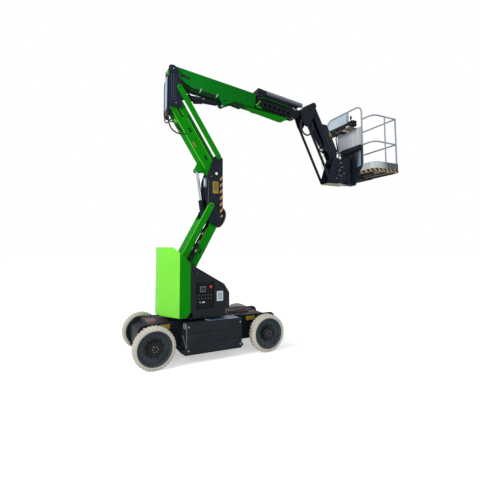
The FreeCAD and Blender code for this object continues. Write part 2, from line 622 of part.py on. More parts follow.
# Middle upright: two side plates and a front web, in a frame at the lower link's head pin
mid = start_body("middle_upright", *mid_foot)
main_bore = "pin_dia/2 + running_gap"
tie_bore = "tie_pin_dia/2 + running_gap"
jib_tie_bore = "jib_tie_pin_dia/2 + running_gap"
tower_base = ("-tower_lug_back", "tower_lug_rise")
features = [
    pad(mid, "XZ_Plane", f"-{plate_out}", f"-{plate_in}", [
        ("-24", "-60"),
        ("86", "-73"),
        ("mid_ahead + 112", "100"),
        ("mid_ahead + 112", "mid_rise + 285"),
        ("66", "mid_rise + 355"),
        ("-28", "mid_rise + 286"),
        ("-146", "mid_rise - 58"),
        ("-172", "mid_rise - 146"),
        ("-172", "379"),
        ("-134", "278"),
        ("-tower_lug_back - 42", "tower_lug_rise + 30"),
        ("-tower_lug_back - 42", "tower_lug_rise - 35"),
    ]),
    cut(mid, "XZ_Plane", f"-{plate_out} - 1", f"-{plate_in} + 1",
        ("0", "0", main_bore), ("mid_ahead", "mid_rise", main_bore),
        ("-low_tie_back", "low_tie_rise", tie_bore), (*tower_base, tie_bore),
        ("mid_ahead + high_tie_ahead", "mid_rise + high_tie_rise", tie_bore)),
]
mirror(mid, features)
pad(mid, "XZ_Plane", f"-{plate_in}", plate_in,
    box("mid_ahead + 100", "100", "mid_ahead + 112", "mid_rise - 110"))

# Upper arm: a deep box beam with hose slots in its sides and lugs for the tower cylinder's rod
high = start_body("upper_arm", *mid_head, angle=size("high_angle"))
pad(high, "XZ_Plane", "-core_half", "core_half", [
    ("0", "-85"),
    ("170", "-high_depth/2"),
    ("high_length - 170", "-high_depth/2"),
    ("high_length", "-85"),
    ("high_length", "0", "85"),
    ("high_length + 85", "0"),
    ("high_length + 60", "high_depth/2"),
    ("170", "high_depth/2"),
    ("0", "85"),
    ("0", "0", "85"),
])
pad(high, "XZ_Plane", f"-{plate_out}", plate_out, ("0", "0", "pin_dia/2"))
pad(high, "XZ_Plane", f"-{plate_out}", plate_out, ("high_length", "0", "pin_dia/2"))
lug_at = ("209", "234")
features = [pad(high, "XZ_Plane", "-62", "-44", [
    ("120", "high_depth/2"),
    ("320", "high_depth/2"),
    ("209 + 45", "234"),
    (*lug_at, "45"),
    ("209 - 45", "234"),
])]
features.append(cut(high, "XZ_Plane", "-core_half - 1", "-core_half + 12",
                    box("270", "0", "360", "28"), box("800", "0", "890", "28"),
                    box("1090", "-18", "1270", "22")))
mirror(high, features)

# Upper upright: two side plates and a rear web, in a frame at the upper arm's head pin
top = start_body("upper_upright", *top_foot)
boom_base = ("45", "200")
features = [
    pad(top, "XZ_Plane", f"-{plate_out}", f"-{plate_in}", [
        ("-140", "-45"),
        ("85", "-45"),
        ("95", "130"),
        ("88", "high_tie_rise + 20"),
        ("-top_back + 85", "top_rise + 10"),
        ("-top_back", "top_rise", "sqrt(85*85 + 100)"),
        ("-top_back - 65", "top_rise + sqrt(85*85 + 100 - 65*65)"),
    ]),
    cut(top, "XZ_Plane", f"-{plate_out} - 1", f"-{plate_in} + 1",
        ("0", "0", main_bore), ("-top_back", "top_rise", main_bore),
        ("high_tie_ahead", "high_tie_rise", tie_bore)),
]
mirror(top, features)
pad(top, "XZ_Plane", f"-{plate_in}", plate_in, box("-140", "120", "-128", "top_rise - 110"))
pad(top, "XZ_Plane", f"-{plate_in}", plate_in, (*boom_base, "tie_pin_dia/2"))

# Main boom: a tapered root and a hollow tube that the fly boom slides in
boom = start_body("main_boom", *boom_pin, angle=size("boom_angle"))
pad(boom, "XZ_Plane", "-core_half", "core_half", [
    ("0", "-70"),
    ("60", "-70"),
    ("360", "-boom_under"),
    ("boom_length", "-boom_under"),
    ("boom_length", "boom_over"),
    ("60", "boom_over"),
    ("0", "70"),
    ("0", "0", "70"),
])
cut(boom, "YZ_Plane", "330", "boom_length + 1",
    box("-core_half + boom_wall", "-boom_under + boom_wall", "core_half - boom_wall", "boom_over - boom_wall"))
pad(boom, "XZ_Plane", f"-{plate_out}", plate_out, ("0", "0", "pin_dia/2"))
hollow = "(core_half - boom_wall)"
slider = "(core_half - boom_wall - fly_play + running_gap)"
features = [
    pad(boom, "YZ_Plane", "boom_length - 80", "boom_length", box(
        f"-{hollow}", "-boom_under + 60", f"-{slider}", "boom_over - 60")),
]
mirror(boom, features)
for low, high_side in (("-boom_under + boom_wall", "-boom_under + boom_wall + fly_play - running_gap"),
                       ("boom_over - boom_wall - fly_play + running_gap", "boom_over - boom_wall")):
    pad(boom, "YZ_Plane", "boom_length - 80", "boom_length", box(f"-{slider} + 20", low, f"{slider} - 20", high_side))
features = [pad(boom, "XZ_Plane", "-core_half", "-core_half + 22", [
    ("850", "-boom_under"),
    ("930", "-boom_under - 98"),
    ("976", "-boom_under - 78", "sqrt(46*46 + 20*20)"),
    ("1022", "-boom_under - 98"),
    ("1180", "-boom_under"),
])]
mirror(boom, features)

# Fly boom: the inner tube, with a fork for the knuckle's pin
fly = start_body("fly_boom", *boom_pin, angle=size("boom_angle"))
fly_half = "(core_half - boom_wall - fly_play)"
pad(fly, "YZ_Plane", "345", "fly_reach - 330", box(
    f"-{fly_half}", "-boom_under + boom_wall + fly_play", fly_half, "boom_over - boom_wall - fly_play"))
pad(fly, "XZ_Plane", f"-{fly_half}", fly_half, [
    ("fly_reach - 340", "-boom_under + 20"),
    ("fly_reach - 300", "-boom_under + 30"),
    ("fly_reach - 120", "fly_pin_over - 85"),
    ("fly_reach - 25", "fly_pin_over - 48"),
    ("fly_reach + 40", "fly_pin_over - 20"),
    ("fly_reach", "fly_pin_over", "sqrt(40*40 + 20*20)"),
    ("fly_reach + 40", "fly_pin_over + 20"),
    ("fly_reach - 100", "boom_over - 20"),
    ("fly_reach - 340", "boom_over - 20"),
])
pad(fly, "XZ_Plane", f"-{plate_in}", plate_in, ("fly_reach", "fly_pin_over", "pin_dia/2"))

# Fly cover: a black channel over the hoses, with a deep collar at the main boom's mouth
fly_cover = start_body("fly_cover", *boom_pin, angle=size("boom_angle"))
cover_in = "(core_half + side_gap)"
cover_out = "(core_half + side_gap + 22)"
section = [
    (f"-{cover_out}", "40"), (f"-{cover_in}", "40"), (f"-{cover_in}", "boom_over + 90"),
    (cover_in, "boom_over + 90"), (cover_in, "40"), (cover_out, "40"),
    (cover_out, "boom_over + 112"), (f"-{cover_out}", "boom_over + 112"),
]
pad(fly_cover, "YZ_Plane", "boom_length + 25", "fly_reach - 40", section)
cut(fly_cover, "XZ_Plane", f"-{cover_out} - 1", f"{cover_out} + 1", [
    ("fly_reach - 420", "39"), ("fly_reach - 39", "39"), ("fly_reach - 39", "120")])
pad(fly_cover, "XZ_Plane", f"-{cover_in}", cover_in,
    box("fly_reach - 190", "boom_over - boom_wall - fly_play", "fly_reach - 150", "boom_over + 90"))
pad(fly_cover, "YZ_Plane", "boom_length + 25", "boom_length + 130",
    box(f"-{cover_out}", "-boom_under + 3", cover_out, "boom_over + 118"),
    box(f"-{fly_half}", "-boom_under + boom_wall + fly_play", fly_half, "boom_over - boom_wall - fly_play"))

# Hose tray: a trough with round holes spread evenly along the fly boom's right side
tray = start_body("hose_tray", *boom_pin, angle=size("boom_angle"))
hole_step = "(fly_reach - boom_length - 572)/5"
pad(tray, "XZ_Plane", f"-{cover_out}", f"-{fly_half}", [
    ("boom_length + 130", "-boom_under + 30"), ("fly_reach - 420", "-boom_under + 40"),
    ("fly_reach - 290", "-boom_under + 90"), ("fly_reach - 290", "0"), ("boom_length + 130", "10")],
    *[(f"boom_length + 200 + {count}*{hole_step}", "-boom_under + 100", f"{hole_step}*24/105")
      for count in range(6)])

# Knuckle: levelled plates at the fly boom's end that carry the jib, in a frame at its pin
knuckle_in = plate_in
knuckle_out = plate_out
knuckle = start_body("jib_knuckle", *knuckle_pin)
jib_base = ("jib_ahead - jib_lug_back", "jib_rise - jib_lug_drop")
features = [
    pad(knuckle, "XZ_Plane", f"-{knuckle_out}", f"-{knuckle_in}", [
        ("-60", "-30"),
        ("jib_ahead - jib_tie_back - 62", "jib_rise - jib_tie_drop - 5"),
        ("jib_ahead - jib_tie_back - 20", "jib_rise - jib_tie_drop - 42"),
        ("jib_ahead - jib_tie_back + 60", "jib_rise - jib_tie_drop - 20"),
        ("jib_ahead - 10", "jib_rise - 240"),
        ("jib_ahead + 55", "jib_rise - 20"),
        ("jib_ahead", "jib_rise", "sqrt(55*55 + 20*20)"),
        ("jib_ahead - 20", "jib_rise + 55"),
        ("0", "115"),
        ("-60", "50"),
    ]),
    cut(knuckle, "XZ_Plane", f"-{knuckle_out} - 1", f"-{knuckle_in} + 1",
        ("0", "0", main_bore), ("jib_ahead", "jib_rise", main_bore),
        ("jib_ahead - jib_tie_back", "jib_rise - jib_tie_drop", jib_tie_bore)),
]
mirror(knuckle, features)
pad(knuckle, "XZ_Plane", f"-{knuckle_in}", knuckle_in, (*jib_base, "jib_tie_pin_dia/2"))

# Jib: side plates and a deep back, open below so that the parallel link folds in
jib = start_body("jib_arm", *jib_pin, angle=size("jib_angle"))
jib_outline = [
    ("0", "-62"),
    ("120", "-80"),
    ("jib_length - 60", "-80"),
    ("jib_length", "-60"),
    ("jib_length", "0", "60"),
    ("jib_length", "60"),
    ("jib_length - 190", "182"),
    ("470", "182"),
    ("410", "72"),
    ("0", "62"),
    ("0", "0", "62"),
]
pad(jib, "XZ_Plane", "-jib_half", "jib_half", jib_outline)
cut(jib, "XZ_Plane", "-jib_half + 12", "jib_half - 12", [
    ("-70", "-90"), ("jib_length - 80", "-90"), ("jib_length - 80", "30"), ("90", "30"),
    ("90", "-34"), ("-70", "-34")])
pad(jib, "XZ_Plane", f"-{plate_out}", plate_out, ("0", "0", "pin_dia/2"))
pad(jib, "XZ_Plane", f"-{plate_out}", plate_out, ("jib_length", "0", "pin_dia/2"))
jib_eye = ("891", "-125")
features = [pad(jib, "XZ_Plane", "-jib_half", "-jib_half + 18", [
    ("780", "-80"), ("891 - 40", "-125"), (*jib_eye, "40"), ("891 + 40", "-125"), ("1000", "-80")])]
mirror(jib, features)

# Platform support: plates at the jib's end and the post of the platform's turning drive
support = start_body("platform_support", *jib_end)
features = [
    pad(support, "XZ_Plane", f"-{plate_out}", f"-{plate_in}", [
        ("-jib_tie_back - 45", "-jib_tie_drop"),
        ("-jib_tie_back", "-jib_tie_drop", "45"),
        ("-jib_tie_back", "-jib_tie_drop - 45"),
        ("turner_ahead - 125", "-jib_tie_drop + 20"),
        ("turner_ahead - 115", "20"),
        ("60", "60"),
        ("0", "0", "sqrt(2)*60"),
        ("-60", "60"),
    ]),
    cut(support, "XZ_Plane", f"-{plate_out} - 1", f"-{plate_in} + 1",
        ("0", "0", main_bore), ("-jib_tie_back", "-jib_tie_drop", jib_tie_bore)),
]
mirror(support, features)
pad(support, "XZ_Plane", f"-{plate_in}", plate_in,
    box("turner_ahead - 160", "-jib_tie_drop + 40", "turner_ahead - 130", "10"))
pad(support, "XZ_Plane", "-core_half", "core_half",
    box("turner_ahead - 131", "-jib_tie_drop + 40", "turner_ahead - 70", "10"))
pad(support, "XY_Plane", "-jib_tie_drop + 18 + running_gap", "62 - running_gap", ("turner_ahead", "0", "90"))

# Turning bracket: a tapered plate that carries the platform round the drive's upright axis
bracket = start_body("platform_bracket", turner, jib_end[1])
pad(bracket, "XY_Plane", "-jib_tie_drop - 30", "-jib_tie_drop + 18", ("0", "0", "95"))
pad(bracket, "XY_Plane", "62", "110", ("0", "0", "95"))
pad(bracket, "YZ_Plane", "basket_rear - 60", "basket_rear", [
    ("-75", "-jib_tie_drop - 30"), ("75", "-jib_tie_drop - 30"), ("190", "-jib_tie_drop + 240"),
    ("285", "-80"), ("300", "375"), ("-300", "375"), ("-285", "-80"), ("-190", "-jib_tie_drop + 240")])
pad(bracket, "XZ_Plane", "-60", "60", [
    ("98", "-jib_tie_drop - 30"), ("basket_rear - 59", "-jib_tie_drop - 30"), ("basket_rear - 59", "250"),
    ("98", "110")])
for low, high_end in (("-jib_tie_drop - 30", "-jib_tie_drop + 18"), ("62", "110")):
    pad(bracket, "XY_Plane", low, high_end, box("20", "-60", "100", "60"))


def tube(points, radius, bend):
    """A round tube along a path of straight runs with a bend at each inner corner."""
    points = [Vector(*point) for point in points]
    edges = []
    start = points[0]
    for before, corner, after in zip(points, points[1:], points[2:]):
        inward = (before - corner).normalize()
        outward = (after - corner).normalize()
        half = inward.getAngle(outward)/2
        setback = bend/math.tan(half)
        first = corner + inward*setback
        last = corner + outward*setback
        centre = corner + (inward + outward).normalize()*(bend/math.sin(half))
        middle = centre + (corner - centre).normalize()*bend
        edges.append(Part.LineSegment(start, first).toShape())
        edges.append(Part.Arc(first, middle, last).toShape())
        start = last
    edges.append(Part.LineSegment(start, points[-1]).toShape())
    path = Part.Wire(edges)
    ring = Part.Wire(Part.Circle(points[0], points[1] - points[0], radius).toShape())
    return path.makePipeShell([ring], True, False)


def plain_part(name, shape, x, y, z):
    """A node whose shape is set outright and then placed."""
    made = document.addObject("Part::Feature", name)
    made.Label = name
    made.Shape = shape
    made.Placement = Placement(Vector(x, y, z), Rotation())
    nodes.append(made)
    return made


def joined(shapes):
    """One solid from shapes that run into each other."""
    whole = shapes[0].multiFuse(shapes[1:])
    return whole.removeSplitter()


# Platform, in a frame on its turning axis at floor level: its plan has one round corner
back = size("basket_rear")
front = back + size("basket_depth")
right = -size("basket_right")
left = size("basket_left")
wall = size("toe_wall")
gap = size("running_gap")
loop_radius = size("loop_dia/2")
corner_round = size("rail_bend") + loop_radius + wall + gap


def slab(inset, low, high):
    """A slab between two levels, set in from the platform's edge all round."""
    turn = corner_round - inset
    x_low, x_high, y_low, y_high = back + inset, front - inset, right + inset, left - inset
    middle = Vector(x_low + turn, y_low + turn, low) - Vector(turn, turn, 0)*math.sqrt(0.5)
    arc = Part.Arc(Vector(x_low, y_low + turn, low), middle, Vector(x_low + turn, y_low, low))
    sides = Part.makePolygon([Vector(x_low + turn, y_low, low), Vector(x_high, y_low, low),
                              Vector(x_high, y_high, low), Vector(x_low, y_high, low),
                              Vector(x_low, y_low + turn, low)])
    return Part.Face(Part.Wire([arc.toShape()] + sides.Edges)).extrude(Vector(0, 0, high - low))


# The floor is a plate on a rim and two cross beams, with a raised tread panel inside its border
depth = size("floor_depth")
border_top = -size("tread_rise")
plate_low = border_top - size("floor_wall")
rim = size("rim_wall_low")
floor = slab(0, -depth, border_top).cut(slab(rim, -depth - 1, plate_low))
beams = [Part.makeBox(2*rim, left - right - rim, depth + plate_low + 5,
                      Vector(back + (front - back)*share/3 - rim, right + rim/2, -depth)) for share in (1, 2)]
plain_part("platform_floor", joined([floor, slab(size("border"), border_top - 1, 0)] + beams),
           turner, 0, size("floor_height"))
toe = size("toe_rise")
boards = slab(0, border_top, toe).cut(slab(wall, border_top - 1, toe + 1))
plain_part("toe_boards", boards, turner, 0, size("floor_height"))

# Guard rails bend round the rear right corner and end in posts at the front; a raised loop
# stands over the controls
radius = size("rail_dia")/2
post = size("post_dia")/2
top_rail = size("rail_rise") - radius
mid_rail = top_rail/2
loop = size("loop_rise") - loop_radius
post_right = -size("post_right")
post_left = size("post_left")
rear = back + wall + gap + loop_radius
fore = front - wall - gap - loop_radius
near = right + wall + gap + loop_radius
far = left - wall - gap - loop_radius
rails = [
    tube([(rear, post_right, border_top), (rear, post_right, loop), (rear, far, loop), (rear, far, border_top)],
         loop_radius, size("loop_bend")),
    tube([(rear, far, mid_rail), (rear, post_right, mid_rail)], radius, 0),
]
for level in (top_rail, mid_rail):
    rails.append(tube([(rear, post_right, level), (rear, near, level), (fore, near, level)],
                      radius, size("rail_bend")))
    rails.append(tube([(fore, near, level), (fore, far, level)], radius, 0))
    rails.append(tube([(fore, far, level), (rear, far, level)], radius, 0))
for x, y, post_radius, height in ((rear, post_left, post, loop), ((rear + fore)/2, near, post, top_rail),
                                  ((rear + fore)/2, far, post, top_rail),
                                  (fore, near, loop_radius, top_rail + radius + 2),
                                  (fore, far, loop_radius, top_rail + radius + 2)):
    rails.append(Part.makeCylinder(post_radius, height - border_top, Vector(x, y, border_top)))
plain_part("guard_rails", joined(rails), turner, 0, size("floor_height"))

# The platform's controls stand on a shelf behind the rear rail, over a sheet that closes the rear
low = size("console_rise")
high_side = low + size("console_height")
shelf_front = rear - loop_radius
shelf_rear = shelf_front - size("console_depth")
console_profile = Part.makePolygon([Vector(x, 0, z) for x, z in (
    (shelf_front, low), (shelf_front, high_side), (shelf_rear + size("console_slope"), high_side),
    (shelf_rear, high_side - 70), (shelf_rear, low), (shelf_front, low))])
console = Part.Face(console_profile).extrude(Vector(0, size("console_right + console_left"), 0))
console.translate(Vector(0, -size("console_right"), 0))
plain_part("platform_console", console, turner, 0, size("floor_height"))
rear_sheet = Part.makeBox(wall, size("console_left") - post_right + 10, size("sheet_height"),
                          Vector(back, post_right - 10, low - size("sheet_height")))
sheet_bend = size("loop_bend") - loop_radius - gap
sheet_low = Vector(rear - wall/2, post_left + post + gap, size("loop_rise - loop_sheet_drop"))
sheet_high = Vector(rear - wall/2, far - loop_radius - gap, loop - loop_radius - gap)
centre = sheet_high - Vector(0, sheet_bend, sheet_bend)
round_edge = Part.Arc(centre + Vector(0, sheet_bend, 0),
                      centre + Vector(0, sheet_bend, sheet_bend)*math.sqrt(0.5),
                      centre + Vector(0, 0, sheet_bend)).toShape()
straight_edges = Part.makePolygon([
    centre + Vector(0, 0, sheet_bend), Vector(sheet_low.x, sheet_low.y, sheet_high.z), sheet_low,
    Vector(sheet_low.x, sheet_high.y, sheet_low.z), centre + Vector(0, sheet_bend, 0)])
loop_sheet = Part.Face(Part.Wire([round_edge] + straight_edges.Edges)).extrude(Vector(wall, 0, 0))
plain_part("rear_sheets", Part.makeCompound([rear_sheet, loop_sheet]), turner, 0, size("floor_height"))


# Pairs of pins that a cylinder joins, in the row's own frame
tower_foot = (mid_foot[0] + size(tower_base[0]), mid_foot[1] + size(tower_base[1]))


def in_frame(origin, angle, point):
    """A point of a turned frame, in the row's own frame."""
    step_along = polar(angle, size(point[0]))
    step_over = polar(angle + 90, size(point[1]))
    return (origin[0] + step_along[0] + step_over[0], origin[1] + step_along[1] + step_over[1])


cylinders = (
    # name, base pin, rod's eye, barrel, rod and pin bore, then from the base pin: the barrel's
    # bottom, its bore's end and its mouth, and the rod's inner end
    ("tower_cylinder", tower_foot, in_frame(mid_head, size("high_angle"), lug_at),
     "cylinder_dia", "rod_dia", None, "-tower_bottom", "-tower_bottom + 25", "tower_mouth", "tower_tail"),
    ("boom_cylinder", in_frame(top_foot, 0, boom_base),
     in_frame(boom_pin, size("boom_angle"), ("976", "-boom_under - 78")),
     "cylinder_dia", "rod_dia", tie_bore, "62", "70", "boom_mouth", "92"),
    ("jib_cylinder", in_frame(knuckle_pin, 0, jib_base), in_frame(jib_pin, size("jib_angle"), jib_eye),
     "jib_cylinder_dia", "jib_rod_dia", jib_tie_bore, "62", "70", "jib_mouth", "92"),
)
for name, base, eye, barrel_dia, rod_dia, pin_bore, bottom, inner, mouth, tail in cylinders:
    length = math.hypot(eye[0] - base[0], eye[1] - base[1])
    angle = math.degrees(math.atan2(eye[1] - base[1], eye[0] - base[0]))
    barrel = start_body(f"{name}_barrel", *base, angle=angle)
    if pin_bore:
        pad(barrel, "XZ_Plane", "-36", "36", stadium("60", "46"))
    else:
        # Side pins carry this barrel between the upright's plates
        pad(barrel, "XZ_Plane", f"-{plate_out}", plate_out, ("0", "0", "tie_pin_dia/2"))
    turned(barrel, "XZ_Plane", [
        (bottom, "0"), (mouth, "0"), (mouth, f"{barrel_dia}/2"), (bottom, f"{barrel_dia}/2")])
    if pin_bore:
        cut(barrel, "XZ_Plane", "-37", "37", ("0", "0", pin_bore))
    bore = barrel.newObject("PartDesign::Groove", f"{name}_bore")
    bore.Profile = draw(barrel, "XZ_Plane", "0", [[
        (inner, "0"), (f"{mouth} + 1", "0"), (f"{mouth} + 1", f"{rod_dia}/2 + running_gap"),
        (inner, f"{rod_dia}/2 + running_gap")]])
    bore.ReferenceAxis = (bore.Profile[0], ["H_Axis"])
    rod = start_body(f"{name}_rod", *base, angle=angle)
    turned(rod, "XZ_Plane", [
        (tail, "0"), (length - 30, "0"), (length - 30, f"{rod_dia}/2"), (tail, f"{rod_dia}/2")])
    pad(rod, "XZ_Plane", "-36", "36", (length, "0", "32"))

document.recompute()
faults = [item.Name for item in document.Objects if "Invalid" in item.State or "Error" in item.State]
for node in nodes:
    if node.Shape.isNull() or not node.Shape.isValid():
        faults.append(node.Label)
if faults:
    raise RuntimeError("not built: " + ", ".join(faults))

os.makedirs("parts", exist_ok=True)
for node in nodes:
    node.Shape.exportStep(f"parts/{node.Label}.step")
print(len(nodes), "nodes")
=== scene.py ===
import json
import math

import bmesh
import bpy
import numpy as np
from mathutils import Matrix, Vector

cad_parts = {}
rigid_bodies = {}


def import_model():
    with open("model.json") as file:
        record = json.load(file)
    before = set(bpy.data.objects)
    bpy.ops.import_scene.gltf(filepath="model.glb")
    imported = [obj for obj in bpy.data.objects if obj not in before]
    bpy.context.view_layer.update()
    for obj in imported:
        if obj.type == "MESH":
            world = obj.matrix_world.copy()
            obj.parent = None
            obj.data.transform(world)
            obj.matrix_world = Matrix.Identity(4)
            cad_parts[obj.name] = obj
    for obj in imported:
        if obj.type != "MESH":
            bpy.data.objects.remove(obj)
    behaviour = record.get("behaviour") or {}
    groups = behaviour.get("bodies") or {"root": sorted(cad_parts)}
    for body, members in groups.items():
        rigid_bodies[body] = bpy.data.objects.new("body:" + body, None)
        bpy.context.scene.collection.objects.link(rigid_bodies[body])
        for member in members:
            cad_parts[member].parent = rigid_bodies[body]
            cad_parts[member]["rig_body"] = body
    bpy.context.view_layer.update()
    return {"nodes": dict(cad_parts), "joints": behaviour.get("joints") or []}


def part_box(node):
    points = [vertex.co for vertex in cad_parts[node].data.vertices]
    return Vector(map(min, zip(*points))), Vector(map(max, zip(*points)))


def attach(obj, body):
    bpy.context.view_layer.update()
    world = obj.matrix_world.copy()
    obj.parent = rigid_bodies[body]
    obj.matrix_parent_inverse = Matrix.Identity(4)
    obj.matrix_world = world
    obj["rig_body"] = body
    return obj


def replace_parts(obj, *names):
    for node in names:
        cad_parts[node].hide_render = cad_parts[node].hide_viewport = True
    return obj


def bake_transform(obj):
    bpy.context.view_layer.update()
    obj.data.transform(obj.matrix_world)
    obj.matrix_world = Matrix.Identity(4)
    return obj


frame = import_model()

# An articulating boom lift, put together from the wheels up.
# Metres, X along the chassis to its steered end, Y to the left, Z up from the ground.

# Chassis frame: a welded steel box between the axles, sprayed anthracite.
# Plates with rounded tops stand beside its decks and are bolted to the axles.
sides = (("right", -1), ("left", 1))


def wired(tree, kind, inputs, output=0, **settings):
    """One shader node with its settings, each input a value or the socket that feeds it.
    One of its outputs comes back."""
    node = tree.nodes.new(f"ShaderNode{kind}")
    for name, value in settings.items():
        setattr(node, name, value)
    for name, value in inputs.items():
        if isinstance(value, bpy.types.NodeSocket):
            tree.links.new(value, node.inputs[name])
        else:
            node.inputs[name].default_value = value
    return node.outputs[output]


def paint(name, colour, rough=0.4, gloss=0.2, coat=0.0, dust=0.1, dust_colour=(0.15, 0.145, 0.135),
          grain=900.0, shade=0.1, metal=0.0, second=None, along=(0, 0, 1), low=0.0, high=1.0, period=None):
    """Sprayed paint: the colour drifts a little over large patches, fine orange peel in the bump,
    dust where faces look up and where a slow noise is high, and gloss that varies with the dust.
    A second colour takes over along a direction from low to high, or in stripes of one period."""
    made = bpy.data.materials.new(name)
    made.use_nodes = True
    tree = made.node_tree
    shader = tree.nodes["Principled BSDF"].inputs
    shader["Coat Weight"].default_value = coat
    shader["Coat Roughness"].default_value = 0.15
    shader["Specular IOR Level"].default_value = gloss
    shader["Metallic"].default_value = metal
    place = wired(tree, "TexCoord", {}, "Object")

    def noise(scale, detail=4.0, roughness=0.6):
        settings = {"Vector": place, "Scale": scale, "Detail": detail, "Roughness": roughness}
        return wired(tree, "TexNoise", settings, "Fac")

    def spread(value, start, end, out_start, out_end):
        ends = {"Value": value, "From Min": start, "From Max": end, "To Min": out_start, "To Max": out_end}
        return wired(tree, "MapRange", ends, "Result")

    def mixed(factor, first, other):
        return wired(tree, "Mix", {"Factor": factor, "A": first, "B": other}, "Result", data_type="RGBA")

    def product(first, other):
        return wired(tree, "Math", {0: first, 1: other}, "Value", operation="MULTIPLY")

    dark = (*(value*(1 - shade) for value in colour), 1)
    light = (*(min(1.0, value*(1 + shade)) for value in colour), 1)
    drift = mixed(spread(noise(1.7, 3.0), 0.3, 0.7, 0, 1), dark, light)
    if second:
        share = wired(tree, "VectorMath", {0: place, 1: along}, "Value", operation="DOT_PRODUCT")
        if period:
            share = wired(tree, "Math", {0: share, 1: period/2}, "Value", operation="PINGPONG")
        drift = mixed(spread(share, low, high, 0, 1), drift, (*second, 1))
    upward = wired(tree, "SeparateXYZ", {"Vector": wired(tree, "NewGeometry", {}, "Normal")}, "Z")
    settled = product(spread(upward, -0.2, 1.0, 0.25, 1.0), spread(noise(6.0, 8.0, 0.7), 0.42, 0.75, 0, 1))
    amount = product(settled, spread(noise(0.8, 2.0), 0.2, 0.8, dust*0.7, dust*1.6))
    peel = wired(tree, "Bump", {"Strength": 0.05, "Distance": 0.001, "Height": noise(grain, 2.0)}, "Normal")
    tree.links.new(mixed(amount, drift, (*dust_colour, 1)), shader["Base Color"])
    tree.links.new(spread(settled, 0, 1, rough, min(1.0, rough + 0.2)), shader["Roughness"])
    tree.links.new(peel, shader["Normal"])
    return made


anthracite = paint("satin_anthracite_paint", (0.0175, 0.0205, 0.0265), rough=0.42, gloss=0.05)


def shown(name, mesh, smooth=35):
    """A mesh as an object of the scene, smooth where its faces meet below an angle."""
    mesh.polygons.foreach_set("use_smooth", np.ones(len(mesh.polygons), bool))
    mesh.set_sharp_from_angle(angle=math.radians(smooth))
    made = bpy.data.objects.new(name, mesh)
    bpy.context.scene.collection.objects.link(made)
    return made


def piece(name, points, faces, body, finish, smooth=35):
    """A mesh from an array of points and faces, its faces turned outwards.
    It rides on one body; given a joint's two bodies, it stays where it is, attached to neither."""
    mesh = bpy.data.meshes.new(name)
    mesh.from_pydata(np.asarray(points, float).reshape(-1, 3).tolist(), [], faces)
    whole = bmesh.new()
    whole.from_mesh(mesh)
    bmesh.ops.recalc_face_normals(whole, faces=whole.faces)
    whole.to_mesh(mesh)
    whole.free()
    mesh.materials.append(finish)
    made = shown(name, mesh, smooth)
    if isinstance(body, tuple):
        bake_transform(made)
    else:
        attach(made, body)
    return made


def dressed(node, finish, width=0.003, second=None, where=None):
    """The node's own shape with its loose triangles merged, flat faces made whole and edges rounded over.
    A second finish goes on the faces whose middles and normals the rule picks."""
    source = frame["nodes"][node]
    mesh = source.data.copy()
    whole = bmesh.new()
    whole.from_mesh(mesh)
    bmesh.ops.remove_doubles(whole, verts=whole.verts, dist=1e-5)
    bmesh.ops.dissolve_limit(whole, angle_limit=math.radians(1), verts=whole.verts, edges=whole.edges)
    whole.to_mesh(mesh)
    whole.free()
    mesh.materials.clear()
    mesh.materials.append(finish)
    if second:
        mesh.materials.append(second)
        middles, normals = np.empty(len(mesh.polygons)*3), np.empty(len(mesh.polygons)*3)
        mesh.polygons.foreach_get("center", middles)
        mesh.polygons.foreach_get("normal", normals)
        picked = where(middles.reshape(-1, 3).T, normals.reshape(-1, 3).T)
        mesh.polygons.foreach_set("material_index", picked.astype(np.int32))
    made = shown(f"{node}_dressed", mesh)
    edge = made.modifiers.new("edges", "BEVEL")
    edge.width = width
    edge.segments = 2
    edge.limit_method = "ANGLE"
    edge.angle_limit = math.radians(35)
    edge.harden_normals = False
    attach(made, source["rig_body"])
    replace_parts(made, node)


def ring_faces(rings, around, closed=False):
    """Quads between rings of points that close on themselves, with a face over each end,
    or with the last ring joined to the first."""
    row, column = np.meshgrid(np.arange(rings if closed else rings - 1), np.arange(around), indexing="ij")
    after, below = (column + 1) % around, (row + 1) % rings
    quads = np.stack([row*around + column, row*around + after,
                      below*around + after, below*around + column], axis=-1).reshape(-1, 4).tolist()
    if not closed:
        quads.append(list(range(around))[::-1])
        quads.append(list(range((rings - 1)*around, rings*around)))
    return quads


def rounded(corners, radius, steps=5):
    """A closed outline whose corners are arcs: each arc starts where its circle touches the two edges."""
    corners = np.asarray(corners, float)
    radius = np.broadcast_to(radius, len(corners))[:, None]
    back = np.roll(corners, 1, axis=0) - corners
    ahead = np.roll(corners, -1, axis=0) - corners
    reach = np.minimum(np.linalg.norm(back, axis=1), np.linalg.norm(ahead, axis=1))[:, None]
    back /= np.linalg.norm(back, axis=1)[:, None]
    ahead /= np.linalg.norm(ahead, axis=1)[:, None]
    half = np.arccos(np.clip((back*ahead).sum(1), -1, 1))[:, None]/2
    setback = np.minimum(radius/np.tan(half), 0.48*reach)
    share = np.linspace(0, 1, steps)[None, :, None]
    first, last = (corners + back*setback)[:, None], (corners + ahead*setback)[:, None]
    return ((1 - share)**2*first + 2*share*(1 - share)*corners[:, None] + share**2*last).reshape(-1, 2)


def inset(outline, distance):
    """The outline moved inwards: each point goes along the mean of its two edges' inward normals."""
    edge = np.roll(outline, -1, axis=0) - outline
    normal = np.stack([-edge[:, 1], edge[:, 0]], axis=1)
    normal /= np.maximum(np.linalg.norm(normal, axis=1), 1e-12)[:, None]
    area = (outline[:, 0]*np.roll(outline[:, 1], -1) - np.roll(outline[:, 0], -1)*outline[:, 1]).sum()
    mean = normal + np.roll(normal, 1, axis=0)
    mean /= np.maximum((mean*mean).sum(1), 0.4)[:, None]/2
    return outline + mean*distance*np.sign(area)


